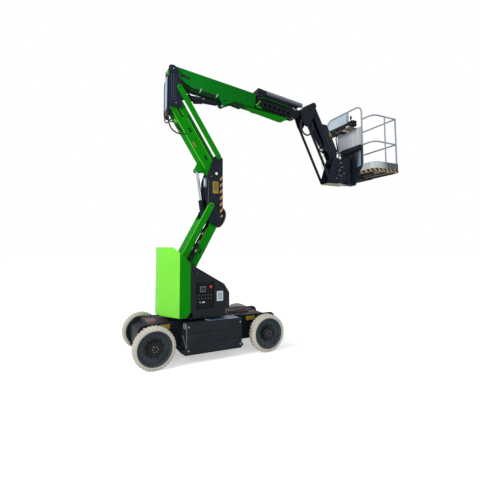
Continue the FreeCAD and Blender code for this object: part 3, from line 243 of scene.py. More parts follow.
def plate(name, corners, low, high, body, finish, axes="xz", radius=0.004, edge=0.002, slot=None):
    """A flat plate: its rounded outline in the plane of two axes, at two levels of the third, edges eased."""
    outline = rounded(corners, radius)
    order = ["xyz".index(axis) for axis in axes]
    small = inset(outline, edge)
    rings = np.empty((4, len(outline), 3))
    rings[..., order] = small, outline, outline, small
    rings[..., 3 - sum(order)] = np.array([low, low + edge, high - edge, high])[:, None]
    return piece(name, rings, ring_faces(4, len(outline)), body, finish)


def oblong(left, low, right, high):
    """The four corners of an upright rectangle."""
    return [(left, low), (right, low), (right, high), (left, high)]


def badge(name, corners, face, thick, body, finish, radius=0.004, edge=None):
    """A thin plate on an upright face: it stands its thickness proud, away from the middle plane."""
    low, high = sorted((face, face + math.copysign(thick, face)))
    plate(name, corners, low, high, body, finish, radius=radius, edge=edge or thick*0.3)


def badges(name, corners, face, *rest):
    """The same thin plate on the right and the left face."""
    for side, sign in sides:
        badge(f"{name}_{side}", corners, sign*face, *rest)


def heads(name, places, direction, radius, height, body, finish, sides=6):
    """Screw heads: one short eased prism for all, repeated at each place along the direction."""
    direction = np.asarray(direction, float)/np.linalg.norm(direction)
    side = np.cross(direction, (0.31, 0.17, 0.93))
    side /= np.linalg.norm(side)
    up = np.cross(direction, side)
    turn = np.arange(sides)*2*np.pi/sides
    circle = np.cos(turn)[:, None]*side + np.sin(turn)[:, None]*up
    rings = np.stack([circle*radius, circle*radius + direction*height*0.7, circle*radius*0.8 + direction*height])
    places = np.asarray(places, float).reshape(-1, 1, 3)
    starts = range(0, len(places)*3*sides, 3*sides)
    faces = [[index + start for index in face] for start in starts for face in ring_faces(3, sides)]
    piece(name, places + rings.reshape(1, -1, 3), faces, body, finish, smooth=30)


def bolt_circle(centre, across, radius, turn):
    """Places round a centre in X and Z, one for each angle, at one cross position."""
    return np.stack([centre[0] + radius*np.cos(turn), np.full(len(turn), across),
                     centre[1] + radius*np.sin(turn)], axis=1)


dressed("chassis_frame", anthracite, 0.006)
zinc = paint("zinc_plated_steel", (0.40, 0.40, 0.38), rough=0.35, gloss=0.5, metal=0.8)
label_yellow = paint("blank_yellow_plate", (0.32, 0.22, 0.018), rough=0.5, dust=0.25)
label_red = paint("blank_red_plate", (0.17, 0.040, 0.045), rough=0.45, dust=0.3)
side_face, beam_top = 0.334, 0.567
for end, corners in (("rear", oblong(-0.785, 0.487, -0.640, 0.555)), ("front", oblong(0.652, 0.480, 0.815, 0.545))):
    badges(f"yellow_plate_{end}", corners, side_face, 0.002, "chassis", label_yellow, 0.005)
for end, corners in (("rear", oblong(-0.930, -0.13, -0.790, 0.13)), ("front", oblong(0.800, -0.14, 0.930, 0.19))):
    plate(f"red_plate_{end}", corners, beam_top, beam_top + 0.002, "chassis", label_red, "xy", 0.006, 0.0006)
for side, sign in sides:
    spots = bolt_circle((-0.915, 0.3), sign*side_face, 0.135, np.radians(np.arange(-45, 226, 45)))
    heads(f"axle_bolts_{side}", spots, (0, sign, 0), 0.010, 0.008, "chassis", zinc)
    spots = [(x, sign*side_face, 0.525) for x in (-1.02, -0.86, 0.90, 1.12)]
    heads(f"frame_bolts_{side}", spots, (0, sign, 0), 0.010, 0.008, "chassis", zinc)


def smooth_line(points, steps=8):
    """A line through the points: between two of them it is the cubic that their neighbours' slopes give."""
    points = np.asarray(points, float)
    row = np.concatenate([2*points[:1] - points[1:2], points, 2*points[-1:] - points[-2:-1]])
    share = np.arange(steps)/steps
    powers = np.stack([np.ones(steps), share, share**2, share**3], axis=1)
    basis = np.array([[0, 2, 0, 0], [-1, 0, 1, 0], [2, -5, 4, -1], [-1, 3, -3, 1]])/2
    four = np.stack([row[:-3], row[1:-2], row[2:-1], row[3:]], axis=1)
    return np.concatenate([np.einsum("sp,pk,nkd->nsd", powers, basis, four).reshape(-1, 3), points[-1:]])


def swept(line, section):
    """A flat section carried along a line. Its first axis lies across the line in the plane in which
    the line's points spread most, its second is the direction in which they spread least."""
    tangent = np.gradient(line, axis=0)
    tangent /= np.linalg.norm(tangent, axis=1)[:, None]
    level = np.linalg.svd(line - line.mean(0))[2][2]
    side = np.cross(tangent, level)
    side /= np.linalg.norm(side, axis=1)[:, None]
    up = np.cross(side, tangent)
    return line[:, None] + section[..., :1]*side[:, None] + section[..., 1:]*up[:, None]


hose_black = paint("hose_rubber", (0.010, 0.011, 0.013), rough=0.5, gloss=0.25)


def hose(name, points, radius, body, finish=hose_black, steps=8):
    """A round hose: a circle carried along a smooth line through the points."""
    line = smooth_line(points, steps)
    turn = np.arange(10)*2*np.pi/10
    circle = radius*np.stack([np.cos(turn), np.sin(turn)], axis=1)
    rings = swept(line, np.broadcast_to(circle, (len(line), 10, 2)))
    piece(name, rings, ring_faces(len(line), 10), body, finish)


for number, (start, end) in enumerate(((-0.16, -0.12), (-0.10, -0.08), (-0.05, 0.04))):
    hose(f"steering_hose_{number}", [
        (0.42, start, 0.591), (0.52, start, 0.592), (0.60, (start + end)/2, 0.586), (0.70, end, 0.579),
        (0.80, end + 0.03, 0.580), (0.88, end + 0.10, 0.579), (0.98, end + 0.20, 0.576)], 0.009, "chassis")

# Battery boxes: steel troughs faced with three folded boards, hung between the wheels.
# Each is held by corner screws, with a pressed latch at the rear end and a glossy lid on top.
lid_blue = paint("battery_lid_blue", (0.068, 0.125, 0.200), rough=0.3, gloss=0.15, dust=0.05)
latch_grey = paint("latch_grey", (0.13, 0.14, 0.155), gloss=0.25, dust=0.2)
for side, sign in sides:
    dressed(f"battery_box_{side}", anthracite, 0.006)
    heads(f"battery_screws_{side}", [(x, sign*0.6, z) for x in (-0.425, 0.412) for z in (0.195, 0.535)],
          (0, sign, 0), 0.011, 0.006, "chassis", zinc, 12)
    handle = [(-0.075, 0.375, 0.594), (-0.115, 0.40, 0.598), (-0.135, 0.45, 0.600), (-0.115, 0.50, 0.598),
              (-0.075, 0.525, 0.594)]
    hose(f"lid_handle_{side}", np.array(handle)*(1, sign, 1), 0.006, "chassis", zinc)
    for name, corners, low, high, finish, *shape in (
            ("battery_lid", oblong(-0.100, 0.350, 0.405, 0.570), 0.588, 0.593, lid_blue, "xy", 0.02, 0.002),
            ("latch_strip", oblong(0.560, 0.23, 0.597, 0.565), -0.4545, -0.4500, latch_grey, "yz", 0.006, 0.001),
            ("latch_stay", [(0.585, 0.215), (0.585, 0.250), (0.430, 0.385), (0.400, 0.385), (0.400, 0.355)],
             -0.462, -0.455, latch_grey, "yz", 0.006, 0.002),
            ("latch_lug", oblong(0.470, 0.500, 0.594, 0.580), -0.474, -0.4545, latch_grey, "yz", 0.010, 0.003)):
        mirrored = np.array(corners)*((sign, 1) if shape[0] == "yz" else (1, sign))
        plate(f"{name}_{side}", mirrored, low, high, "chassis", finish, *shape)
    spots = np.array([(-0.462, 0.565, 0.245), (-0.474, 0.520, 0.543), (-0.462, 0.425, 0.367)])*(1, sign, 1)
    heads(f"latch_screws_{side}", spots, (-1, 0, 0), 0.008, 0.006, "chassis", zinc)

# Slewing ring: a machined ball bearing between chassis and turntable, greased and bolted round.
bare = paint("machined_steel", (0.20, 0.20, 0.21), gloss=0.5, dust=0.3, metal=0.9)


def lathe(name, profile, centre, axis, body, finish, steps=48):
    """A surface of revolution: each (along, radius) of the closed profile carried round the axis."""
    profile = np.asarray(profile, float)
    axis = np.asarray(axis, float)/np.linalg.norm(axis)
    side = np.cross(axis, (0.02, 1, 0.03) if abs(axis[1]) < 0.9 else (1, 0, 0))
    side /= np.linalg.norm(side)
    up = np.cross(axis, side)
    turn = np.arange(steps)*2*np.pi/steps
    circle = np.cos(turn)[:, None]*side + np.sin(turn)[:, None]*up
    points = np.asarray(centre, float) + profile[:, 0, None, None]*axis + profile[:, 1, None, None]*circle
    return piece(name, points, ring_faces(len(profile), steps, closed=True), body, finish)


ring_low, ring_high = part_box("slew_ring")
foot, head, outer = ring_low.z, ring_high.z, ring_high.x
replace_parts(lathe("slewing_bearing", [
    (foot, outer - 0.09), (foot, outer - 0.004), (foot + 0.004, outer), (foot + 0.019, outer),
    (foot + 0.021, outer - 0.006), (foot + 0.024, outer - 0.006), (foot + 0.026, outer - 0.002),
    (head - 0.004, outer - 0.002), (head, outer - 0.006), (head, outer - 0.09)],
    (0, 0, 0), (0, 0, 1), "chassis", bare, 96), "slew_ring")

# Axles: forged and welded steel, the rear one with its drive gearboxes, painted with the frame.
for node in ("rear_axle", "front_axle", "knuckle_right", "knuckle_left"):
    dressed(node, anthracite)

# Wheels: solid non-marking tyres with two staggered rows of lugs, pressed on dished steel rims.
# The disc is held by nine nuts set in the dish, round a black hub cover.
rubber = paint("cream_rubber", (0.51, 0.485, 0.42), rough=0.8, gloss=0.12, dust=0.5,
               dust_colour=(0.36, 0.340, 0.295), grain=260.0, shade=0.12)
rim_grey = paint("rim_paint", (0.034, 0.046, 0.056), rough=0.42, gloss=0.14, dust=0.2)
hub_black = paint("hub_black", (0.010, 0.010, 0.011), rough=0.45, gloss=0.14, dust=0.12)


def tyre_surface(centre, outward, outside, seat, half, lugs=34, steps=8):
    """Round angle and section place: the tread's radius rises by one lug's height where a
    square wave of the angle, shifted by half a lug between the two rows, is on."""
    turn = np.arange(lugs*steps)*2*np.pi/(lugs*steps)
    lug_height, lean = 0.011, 3.0
    edge = np.array([(0.004, seat, 0), (0, seat + 0.004, 0), (0, outside - 0.034, 0), (0.001, outside - 0.030, 1),
                     (0.009, outside - 0.010, 1), (0.016, outside - 0.003, 1), (0.024, outside, 1),
                     (half - 0.012, outside, 1), (half - 0.006, outside - 0.001, 0.4)]) - (half, 0, 0)
    along, radius, lugged = np.concatenate([edge, edge[::-1]*(-1, 1, 1)]).T[..., None]
    phase = turn*lugs/(2*np.pi) + np.where(along > 0, 0.5, 0.0) + np.abs(along)*lean
    saw = np.abs((phase % 1.0) - 0.5)*2
    height = radius - lugged*lug_height*(1 - np.clip((saw - 0.26)/0.12, 0, 1))
    across = np.broadcast_to(along*outward, height.shape)
    return np.stack([height*np.cos(turn), across, height*np.sin(turn)], axis=-1) + centre


hinges = {joint["name"]: np.array(joint["pos_m"]) for joint in frame["joints"] if "pos_m" in joint}
seat = 0.245
for end in ("rear", "front"):
    for side, out in sides:
        body = f"wheel_{end}_{side}"
        centre = hinges[f"{body}_turn"]
        low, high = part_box(f"tyre_{end}_{side}")
        face = (high.y - low.y)/2
        disc = face - 0.062
        grid = tyre_surface(centre, out, (high.z - low.z)/2, seat, face)
        tyre = piece(f"{body}_tyre", grid, ring_faces(*grid.shape[:2], closed=True), body, rubber, 40)
        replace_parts(tyre, f"tyre_{end}_{side}")
        rim = lathe(f"{body}_rim", [
            (0.008 - face, seat), (0.006 - face, seat - 0.004), (0.010 - face, seat - 0.022),
            (disc - 0.024, seat - 0.045), (disc - 0.030, 0.11), (disc - 0.022, 0.10), (0.024 - face, 0.09),
            (0.024 - face, 0.037), (disc - 0.012, 0.037), (disc - 0.012, 0.06), (disc - 0.008, 0.10),
            (disc, 0.112), (disc, 0.155), (disc + 0.004, 0.165), (disc + 0.004, seat - 0.060),
            (disc + 0.010, seat - 0.042), (face - 0.014, seat - 0.024), (face - 0.008, seat - 0.016),
            (face - 0.004, seat - 0.008), (face - 0.008, seat)],
            centre, (0, out, 0), body, rim_grey, 96)
        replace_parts(rim, f"rim_{end}_{side}")
        lathe(f"{body}_hub", [
            (disc - 0.010, 0.0005), (disc - 0.010, 0.104), (face - 0.008, 0.103), (face + 0.001, 0.099),
            (face + 0.004, 0.090), (face + 0.001, 0.080), (face + 0.001, 0.058), (face + 0.006, 0.052),
            (face + 0.006, 0.0005)], centre, (0, out, 0), body, hub_black, 64)
        for name, place, radius, turn, width, height, finish in (
                ("nuts", disc, 0.131, np.arange(9)*2*np.pi/9 + 0.2, 0.012, 0.014, hub_black),
                ("hub_screws", face + 0.006, 0.040, np.arange(6)*2*np.pi/6, 0.006, 0.004, zinc)):
            spots = bolt_circle(centre[[0, 2]], centre[1] + out*place, radius, turn)
            heads(f"{body}_{name}", spots, (0, out, 0), width, height, body, finish)

# Turntable: a thick steel deck with two upright tower plates, under moulded side covers.
# The covers are steel sheet on hidden hinges, with pressed screws near their corners.
dressed("turntable", anthracite, 0.004)
cover_paint = paint("cover_paint", (0.0155, 0.0190, 0.0240), rough=0.36, gloss=0.06, dust=0.06)
cover_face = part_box("cover_right")[0].y
for side, sign in sides:
    dressed(f"cover_{side}", cover_paint, 0.007)
    heads(f"cover_screws_{side}", [(x, -sign*cover_face, z) for x, z in ((-0.27, 1.31), (0.06, 1.125), (0.215, 0.84))],
          (0, sign, 0), 0.007, 0.003, "turntable", latch_grey, 12)

# Ground controls: a moulded box set in the right cover, with a display, a stop button and switches.
plastic = paint("moulded_black", (0.0090, 0.0105, 0.0120), rough=0.5, gloss=0.08, dust=0.06)
red = paint("stop_button_red", (0.42, 0.022, 0.020), rough=0.35, gloss=0.4, dust=0.05)
grey = paint("display_grey", (0.13, 0.135, 0.135), rough=0.35, gloss=0.3)
pale = paint("blank_white_plate", (0.60, 0.65, 0.68), rough=0.5, gloss=0.3, dust=0.15)
pale_print = paint("faint_blue_grey", (0.33, 0.40, 0.45), rough=0.5)
panel_face = cover_face + 0.028


def stop_button(name, place, direction, body):
    """A red mushroom button on its collar."""
    lathe(name, [(0, 0.0005), (0, 0.017), (0.010, 0.017), (0.012, 0.024), (0.020, 0.025), (0.026, 0.020),
                 (0.027, 0.0005)], place, direction, body, red, 32)


dressed("ground_panel", plastic, 0.002)
for name, corners, front, rear, finish, radius, edge in (
        ("display", oblong(-0.224, 1.022, -0.135, 1.105), 0.022, 0.010, grey, 0.006, 0.002),
        ("screen", oblong(-0.213, 1.036, -0.146, 1.092), 0.0235, 0.0215, plastic, 0.002, 0.0007),
        ("screen_line", oblong(-0.203, 1.060, -0.158, 1.068), 0.0245, 0.0232, grey, 0.001, 0.0004)):
    plate(f"panel_{name}", corners, panel_face - front, panel_face - rear, "turntable", finish, "xz", radius, edge)
stop_button("stop_button", (-0.05, panel_face - 0.002, 1.095), (0, -1, 0), "turntable")
switches = [(x, panel_face - 0.001, z) for x in (-0.24, -0.19, -0.14, -0.09, -0.04) for z in (0.97, 0.92)]
heads("panel_switches", switches, (0, -1, 0), 0.007, 0.012, "turntable", grey, 12)
heads("panel_keys", [(x, panel_face - 0.001, 0.865) for x in (-0.22, -0.165)], (0, -1, 0), 0.011, 0.008,
      "turntable", zinc, 16)
badge("panel_socket", oblong(-0.185, 0.853, -0.145, 0.877), panel_face, 0.006, "turntable", pale)
badge("blank_plate_cover", oblong(0.045, 0.872, 0.150, 1.022), cover_face, 0.0015, "turntable", pale)
badge("blank_plate_print", oblong(0.062, 0.892, 0.133, 1.004), cover_face - 0.0015, 0.0005, "turntable",
      pale_print, 0.002)

# Counterweight: cast iron, filled and sprayed one green; its rounded rear is a bright green, a painted highlight of the
# light falling on it, and its cheeks deep green, a painted shade.
green = paint("green_paint", (0.0045, 0.225, 0.0045), rough=0.5, gloss=0.02, dust=0.010, shade=0.08)
sunlit_lime = paint("bright_green_paint", (0.185, 0.690, 0.052), rough=0.3, gloss=0.12, coat=0.03, dust=0.02, shade=0.05)
dressed("counterweight", sunlit_lime, 0.012, green,
        lambda middle, normal: (np.abs(normal[1]) > 0.9) & (np.abs(middle[1]) > 0.5))

# Lower link and its tie: a box beam with hose slots and a channel of flat bars above it, welded and
# painted deep green, with the tower's hoses clipped along the link's side.
pins = {name: place[[0, 2]] for name, place in hinges.items()}


def laid_along(start, ahead):
    """Places given along a line and square to it, turned into the machine's X and Z."""
    axes = np.array([ahead, (-ahead[1], ahead[0])])
    return lambda places: start + np.asarray(places, float) @ axes


def member(joint, degrees):
    """Places given from a member's pin at a joint, along its line of pins and square to it."""
    turn = math.radians(degrees)
    return laid_along(pins[joint], (math.cos(turn), math.sin(turn)))


def at(places, across):
    """Places in X and Z with their cross positions."""
    flat = np.asarray(places, float)
    return np.stack([flat[:, 0], np.broadcast_to(across, len(flat)), flat[:, 1]], axis=1)


def shaded_slot_faces(middle, normal):
    """The slots' floors and walls, which lie a little inside the beam's side faces; their black finish is a painted
    shade for the dark inside of the hollow beam.
    """
    depth = np.abs(middle[1])
    return (depth > 0.083) & (depth < 0.0985)


link, low_tie = member("tower_lift", 61.4), member("lower_tie_turn", 61.4)
# Two copies of the green paint: a lighter, sunlit one for painted highlights and a darker, shaded one for painted
# shade.
highlight_green = paint("sunlit_edge_green", (0.13, 0.54, 0.045), rough=0.35, gloss=0.1, dust=0.01)
painted_shade_green = paint("shaded_green", (0.0022, 0.100, 0.0060), rough=0.45, gloss=0.03, dust=0.01)
dressed("lower_link", green, 0.004, plastic, shaded_slot_faces)
dressed("lower_tie", green, 0.004)
# Thin strips in the sunlit green along the tie's and the link's upper edges are painted highlights.
badges("lower_tie_bright_edge", low_tie(oblong(0.02, 0.041, 1.27, 0.0545)), 0.150, 0.0012, "lower_tie",
       highlight_green, 0.003)
badges("lower_link_bright_edge", link(oblong(0.25, 0.066, 1.14, 0.0725)), 0.100, 0.0012, "lower_link",
       highlight_green, 0.003)
for number, place in enumerate((0.40, 0.66)):
    badges(f"link_clamp_{number}", link(oblong(place, 0.030, place + 0.026, 0.090)), 0.100, 0.022, "lower_link",
           hose_black, 0.006, 0.004)
share = np.linspace(0, 1, 8)
over = link([(0.88, 0.095), (0.96, 0.100), (1.04, 0.096), (1.12, 0.084), (1.17, 0.062)])
inwards = np.array([0.100, 0.088, 0.082, 0.080, 0.080])
for side, sign in sides:
    for number, (height, across, wave) in enumerate((
            (0.050, 0.109, 0.004), (0.072, 0.111, -0.005), (0.093, 0.098, 0.003))):
        places = link(np.stack([0.24 + 0.56*share, height + wave*np.sin(share*9)], axis=1))
        line = np.concatenate([at(places, sign*across), at(over, sign*(inwards - 0.009*number))])
        hose(f"link_hose_{number}_{side}", line, 0.0080, "lower_link", steps=5)
    for number, (place, height, across) in enumerate((
            (0.70, 0.070, 0.111), (0.85, 0.094, 0.096), (1.01, 0.098, 0.080))):
        start, end = at(link([(place, height), (place + 0.045, height)]), sign*across)
        lathe(f"link_fitting_{number}_{side}", [
            (0, 0.0095), (0, 0.013), (0.018, 0.013), (0.020, 0.0115), (0.045, 0.0115), (0.045, 0.0095)],
            start, end - start, "lower_link", zinc, 12)

# Middle upright: two thick plates joined by a front web, which the tie keeps level.
# The pins are held by caps, and the front edge is a folded guard with hazard stripes.
blue_black = paint("blue_black_paint", (0.0105, 0.0150, 0.0235), rough=0.38, gloss=0.05, dust=0.06)
hazard = paint("hazard_stripes", (0.010, 0.010, 0.011), rough=0.5, gloss=0.05, dust=0.05,
               second=(0.38, 0.215, 0.115), along=(-0.9, 0, 1.0), low=0.0270, high=0.0290, period=0.112)
white_cap = paint("white_pin_cap", (0.80, 0.83, 0.86), rough=0.35, gloss=0.4, dust=0.02)
worn_yellow = paint("worn_yellow", (0.17, 0.12, 0.015), rough=0.5, dust=0.2)
junction_grey = paint("junction_grey", (0.13, 0.15, 0.19), dust=0.05)


def caps(name, place, face, radius, body, finish, thick=0.006):
    """Turned retaining caps on a pin's two ends: flat discs with rounded rims."""
    profile = [(0, 0.0005), (0, radius), (thick*0.6, radius), (thick, radius*0.86), (thick, 0.0005)]
    for side, sign in sides:
        lathe(f"{name}_{side}", profile, (place[0], sign*face, place[1]), (0, sign, 0), body, finish, 28)


dressed("middle_upright", blue_black, 0.004)
plate_face = 0.123
# The fold on each upright plate is drawn as a thin lighter grey strip, a painted highlight along it.
for name, corners, lift, thick, finish, radius in (
        ("edge_guard", oblong(0.258, 2.215, 0.3185, 3.252), 0, 0.002, blue_black, 0.004),
        ("hazard_strip", oblong(0.264, 2.219, 0.3180, 2.944), 0.002, 0.001, hazard, 0.001),
        ("yellow_plate_upright", oblong(0.131, 2.626, 0.236, 2.831), 0, 0.002, label_yellow, 0.005),
        ("yellow_plate_panel", oblong(0.146, 2.664, 0.221, 2.815), 0.002, 0.0006, worn_yellow, 0.004),
        ("upright_fold", [(0.043, 2.455), (0.049, 2.455), (0.064, 2.850), (0.058, 2.850)], 0, 0.0018,
         latch_grey, 0.001)):
    badges(name, corners, plate_face + lift, thick, "middle_upright", finish, radius)
mid_head, tie_end = pins["tower_unfold"], low_tie((1.3, 0))
caps("arm_pin_cap", mid_head, plate_face, 0.034, "middle_upright", blue_black, 0.004)
caps("arm_pin_end", mid_head + (0.008, 0), plate_face + 0.004, 0.023, "middle_upright", white_cap, 0.003)
caps("link_pin_cap", pins["middle_level"], plate_face, 0.032, "middle_upright", blue_black)
caps("upright_button", (0.110, 2.916), plate_face, 0.011, "middle_upright", latch_grey)
# The ring round the lower tie's end is a painted highlight in the sunlit green, and the black discs on the tie's pins
# are painted shade in their recessed holes.
caps("lower_tie_ring", tie_end, 0.150, 0.031, "lower_tie", highlight_green, 0.002)
caps("lower_tie_eye", tie_end, 0.152, 0.025, "lower_tie", plastic, 0.002)
caps("lower_tie_foot", pins["lower_tie_turn"], 0.150, 0.020, "lower_tie", plastic, 0.003)


def chain(name, points, wide, thick, links, body, finish):
    """An energy chain: a rounded box section carried along a smooth line, its thickness rising and
    falling once for each link."""
    line = smooth_line(points, links*6//(len(points) - 1))
    swell = 0.60 + 0.40*np.abs(np.sin(np.linspace(0, links, len(line))*np.pi))**0.5
    section = rounded(oblong(-thick/2, -wide/2, thick/2, wide/2), 0.006, 3)
    sections = section[None]*np.stack([swell, np.full(len(line), 1.0)], axis=1)[:, None]
    piece(name, swept(line, sections), ring_faces(len(line), len(section)), body, finish)


chain("hose_chain", at([(0.285, 2.375), (0.330, 2.372), (0.368, 2.335), (0.383, 2.275), (0.372, 2.205),
                        (0.345, 2.140), (0.305, 2.085), (0.262, 2.052)], 0),
      0.170, 0.034, 11, "middle_upright", hose_black)
for number, across in enumerate((-0.075, -0.025, 0.03, 0.07)):
    hose(f"chain_hose_{number}", at([(0.225, 2.30), (0.262, 2.355), (0.300, 2.372)], across), 0.009, "middle_upright")
for number, across in enumerate((-0.085, -0.062, 0.062, 0.085)):
    hose(f"upright_hose_{number}", at([(0.10, 2.33), (0.05, 2.42), (0.045, 2.55), (0.055, 2.70), (0.075, 2.80)],
                                      across), 0.010, "middle_upright")
for name, corners, low, high, finish, radius, edge in (
        ("guard_web", oblong(0.3035, 2.222, 0.3185, 3.200), -0.123, 0.123, blue_black, 0.003, 0.003),
        ("junction_box", oblong(-0.035, 2.715, 0.020, 2.880), -0.133, -0.107, junction_grey, 0.006, 0.004),
        ("junction_box_label", oblong(-0.028, 2.745, -0.012, 2.850), -0.1342, -0.1328, white_cap, 0.003, 0.0004)):
    plate(name, corners, low, high, "middle_upright", finish, "xz", radius, edge)

# Upper arm and ties: a deep box beam with hose slots, a band of painted shade along its lower part and painted
# highlights on its rounded corners, and a pair of flat bars beside it, all welded and painted deep green.
arm, high_tie = member("tower_unfold", 122.5), member("upper_tie_turn", 122.5)
orange = paint("blank_orange_plate", (0.30, 0.13, 0.03), rough=0.5, dust=0.2)
dressed("upper_arm", green, 0.004, plastic, shaded_slot_faces)
dressed("upper_tie", green, 0.004)
beam_face = 0.100
# The corner, fold and slot-lip strips in the sunlit green are painted highlights; the band in the shaded green is
# painted shade.
for name, corners, face, thick, finish, *edges in (
        ("arm_bright_corner", oblong(0.165, 0.117, 1.362, 0.1290), 0.0935, 0.0087, highlight_green, 0.002, 0.0015),
        ("arm_dark_band", [(0.175, -0.1265), (1.120, -0.1265), (1.040, -0.060), (0.105, -0.060)], beam_face,
         0.0012, painted_shade_green, 0.004),
        ("arm_fold", [(0.105, -0.0605), (1.040, -0.0605), (1.040, -0.0540), (0.100, -0.0540)], beam_face,
         0.0020, highlight_green, 0.001),
        ("orange_plate", oblong(0.560, 0.060, 0.650, 0.094), beam_face, 0.0015, orange, 0.003),
        ("slot_lip", oblong(1.105, -0.017, 1.262, -0.008), beam_face, 0.0015, highlight_green, 0.001)):
    badges(name, arm(corners), face, thick, "upper_arm", finish, *edges)
for number, place in enumerate((0, 1.304)):
    spot = high_tie((place, 0))
    # The black discs are painted shade in the upper tie's recessed pin holes.
    caps(f"upper_tie_eye_{number}", spot, 0.150, 0.022, "upper_tie", plastic, 0.003)
    caps(f"upper_tie_pin_{number}", spot + (-0.004, 0.004), 0.153, 0.006, "upper_tie", zinc, 0.002)
# The valve is in the sunlit green, a painted highlight.
plate("hose_valve", arm(oblong(1.045, 0.1285, 1.115, 0.168)), -0.080, -0.030, "upper_arm", highlight_green, "xz",
      0.008, 0.004)
for number, across in enumerate((-0.075, -0.045)):
    hose(f"arm_hose_{number}", at(arm([(1.060, 0.160), (1.010, 0.172), (0.93, 0.150), (0.86, 0.118)]), across),
         0.009, "upper_arm")

# Upper upright: two plates joined by a rear web, with pressed ridges, pin caps and a ribbed plastic cover over the
# hoses behind; the hoses hang in loops down to the arm. The ridges are a lighter blue than the plates, a painted
# reflection along them.
upright_blue = paint("upright_blue_black", (0.0130, 0.0195, 0.0340), rough=0.36, gloss=0.06, dust=0.05)
ridge_blue = paint("ridge_blue", (0.030, 0.040, 0.065), rough=0.36, gloss=0.1, dust=0.05)
hose_cover = paint("pale_hose_cover", (0.24, 0.31, 0.41), rough=0.35, dust=0.05,
                   second=(0.012, 0.014, 0.018), along=(0, 0, -1), low=-4.02, high=-3.96)
dressed("upper_upright", upright_blue, 0.004)


def ribbed_cover(low, high, back, deep, wide, ribs=7):
    """Height and place round the section: a half round shell behind the plates, its depth rippled
    by one cosine for each rib and drawn in towards its rounded lower end."""
    level = np.linspace(low, high, 28)[:, None]
    share = np.linspace(0, 1, 57)[None, :]
    draw = np.sqrt(np.clip((level - low)/0.11, 0, 1))
    bow = np.sin(share*np.pi)**0.3*(1 + 0.05*np.cos(share*2*np.pi*ribs))
    outer = np.stack(np.broadcast_arrays(back - deep*bow*(0.35 + 0.65*draw),
                                         (2*share - 1)*wide*(0.9 + 0.1*draw), level), axis=-1)
    return np.concatenate([outer, (outer + (0.006, 0, 0))[:, ::-1]], axis=1)


shell = ribbed_cover(3.885, 4.530, -0.656, 0.017, 0.108)
piece("hose_cover", shell, ring_faces(*shell.shape[:2]), "upper_upright", hose_cover, smooth=50)
badges("hose_cover_cheek", [
    (-0.650, 4.545), (-0.668, 4.520), (-0.674, 4.450), (-0.676, 3.920), (-0.655, 3.872), (-0.610, 3.864),
    (-0.578, 3.900), (-0.585, 3.955), (-0.648, 4.024)], 0.104, 0.017, "upper_upright", plastic, 0.012, 0.004)
# The ridges' lighter blue is a painted reflection.
for number, corners in enumerate((oblong(-0.612, 4.115, -0.602, 4.575), oblong(-0.574, 4.12, -0.560, 4.61),
                                  oblong(-0.535, 4.12, -0.529, 4.56))):
    badges(f"upright_ridge_{number}", corners, plate_face, 0.005, "upper_upright", ridge_blue, 0.003, 0.0024)
top_foot, boom_pin = pins["upper_level"], pins["boom_lift"]
for name, place, lift, radius, finish, thick in (
        ("boom_pin_cap", boom_pin, 0, 0.055, upright_blue, 0.010),
        ("boom_pin_grease", boom_pin + (0.008, 0.014), 0.010, 0.010, zinc, 0.004),
        ("arm_pin_top", top_foot, 0, 0.032, upright_blue, 0.007),
        ("arm_pin_grease", top_foot + (-0.018, 0.020), 0.007, 0.008, zinc, 0.003)):
    caps(name, place, plate_face + lift, radius, "upper_upright", finish, thick)
hang = ("upper_upright", "upper_arm", (-0.640, 0, 3.90), (-0.470, 0, 3.62))
for number, (across, radius, points) in enumerate((
        (-0.075, 0.010, [(-0.660, 3.905), (-0.668, 3.860), (-0.694, 3.812), (-0.700, 3.770), (-0.672, 3.742),
                         (-0.636, 3.765), (-0.600, 3.815), (-0.560, 3.842)]),
        (-0.095, 0.0125, [(-0.650, 3.90), (-0.648, 3.83), (-0.640, 3.77), (-0.618, 3.70), (-0.575, 3.64),
                          (-0.515, 3.602), (-0.450, 3.588), (-0.385, 3.592), (-0.340, 3.60)]),
        (-0.055, 0.010, [(-0.655, 3.91), (-0.640, 3.86), (-0.622, 3.81), (-0.590, 3.785), (-0.550, 3.790),
                         (-0.515, 3.815)]))):
    hose(f"tower_loop_{number}", at(points, across), radius, hang)
for number, across in enumerate((-0.09, -0.06, -0.03, 0.03, 0.06, 0.09)):
    hose(f"cover_hose_{number}", at([(-0.660, 4.00), (-0.662, 3.95), (-0.658, 3.905), (-0.650, 3.870)],
                                    across*np.array([1, 1, 1, 0.95])), 0.011, "upper_upright")

# Main boom: a welded box tube with a tapered root, its hoses clipped along the lower edge.
# The fly boom slides in it on plastic pads, and its lug takes the lift cylinder's rod.
boom_lean = math.radians(-5.95)
boom = member("boom_lift", -5.95)


def boom_place(middle):
    """The place along the boom's line of pins of points in the machine's frame."""
    return (middle[0] - boom_pin[0])*math.cos(boom_lean) + (middle[2] - boom_pin[1])*math.sin(boom_lean)


# The boom's green turns to a darker copy of itself towards its front end, a painted shade.
boom_shaded_green = paint("boom_green_paint", (0.0035, 0.180, 0.011), rough=0.5, gloss=0.02, dust=0.010, shade=0.06,
                   second=(0.0030, 0.125, 0.008), along=(1, 0, 0), low=-0.2, high=1.0)
clip_grey = paint("clip_steel", (0.36, 0.40, 0.43), rough=0.3, gloss=0.5, dust=0.05, metal=0.6)
dressed("main_boom", boom_shaded_green, 0.004, blue_black, lambda middle, normal: boom_place(middle) < 0.03)
dressed("fly_boom", green, 0.004, plastic, lambda middle, normal: boom_place(middle) > 2.335)
# The lug is in the sunlit green, a painted highlight.
lathe("boom_lug", [(-0.012, 0.014), (-0.012, 0.030), (0.012, 0.030), (0.012, 0.014)], (-0.653, -0.092, 4.594),
      (0, 1, 0), "upper_upright", highlight_green, 28)
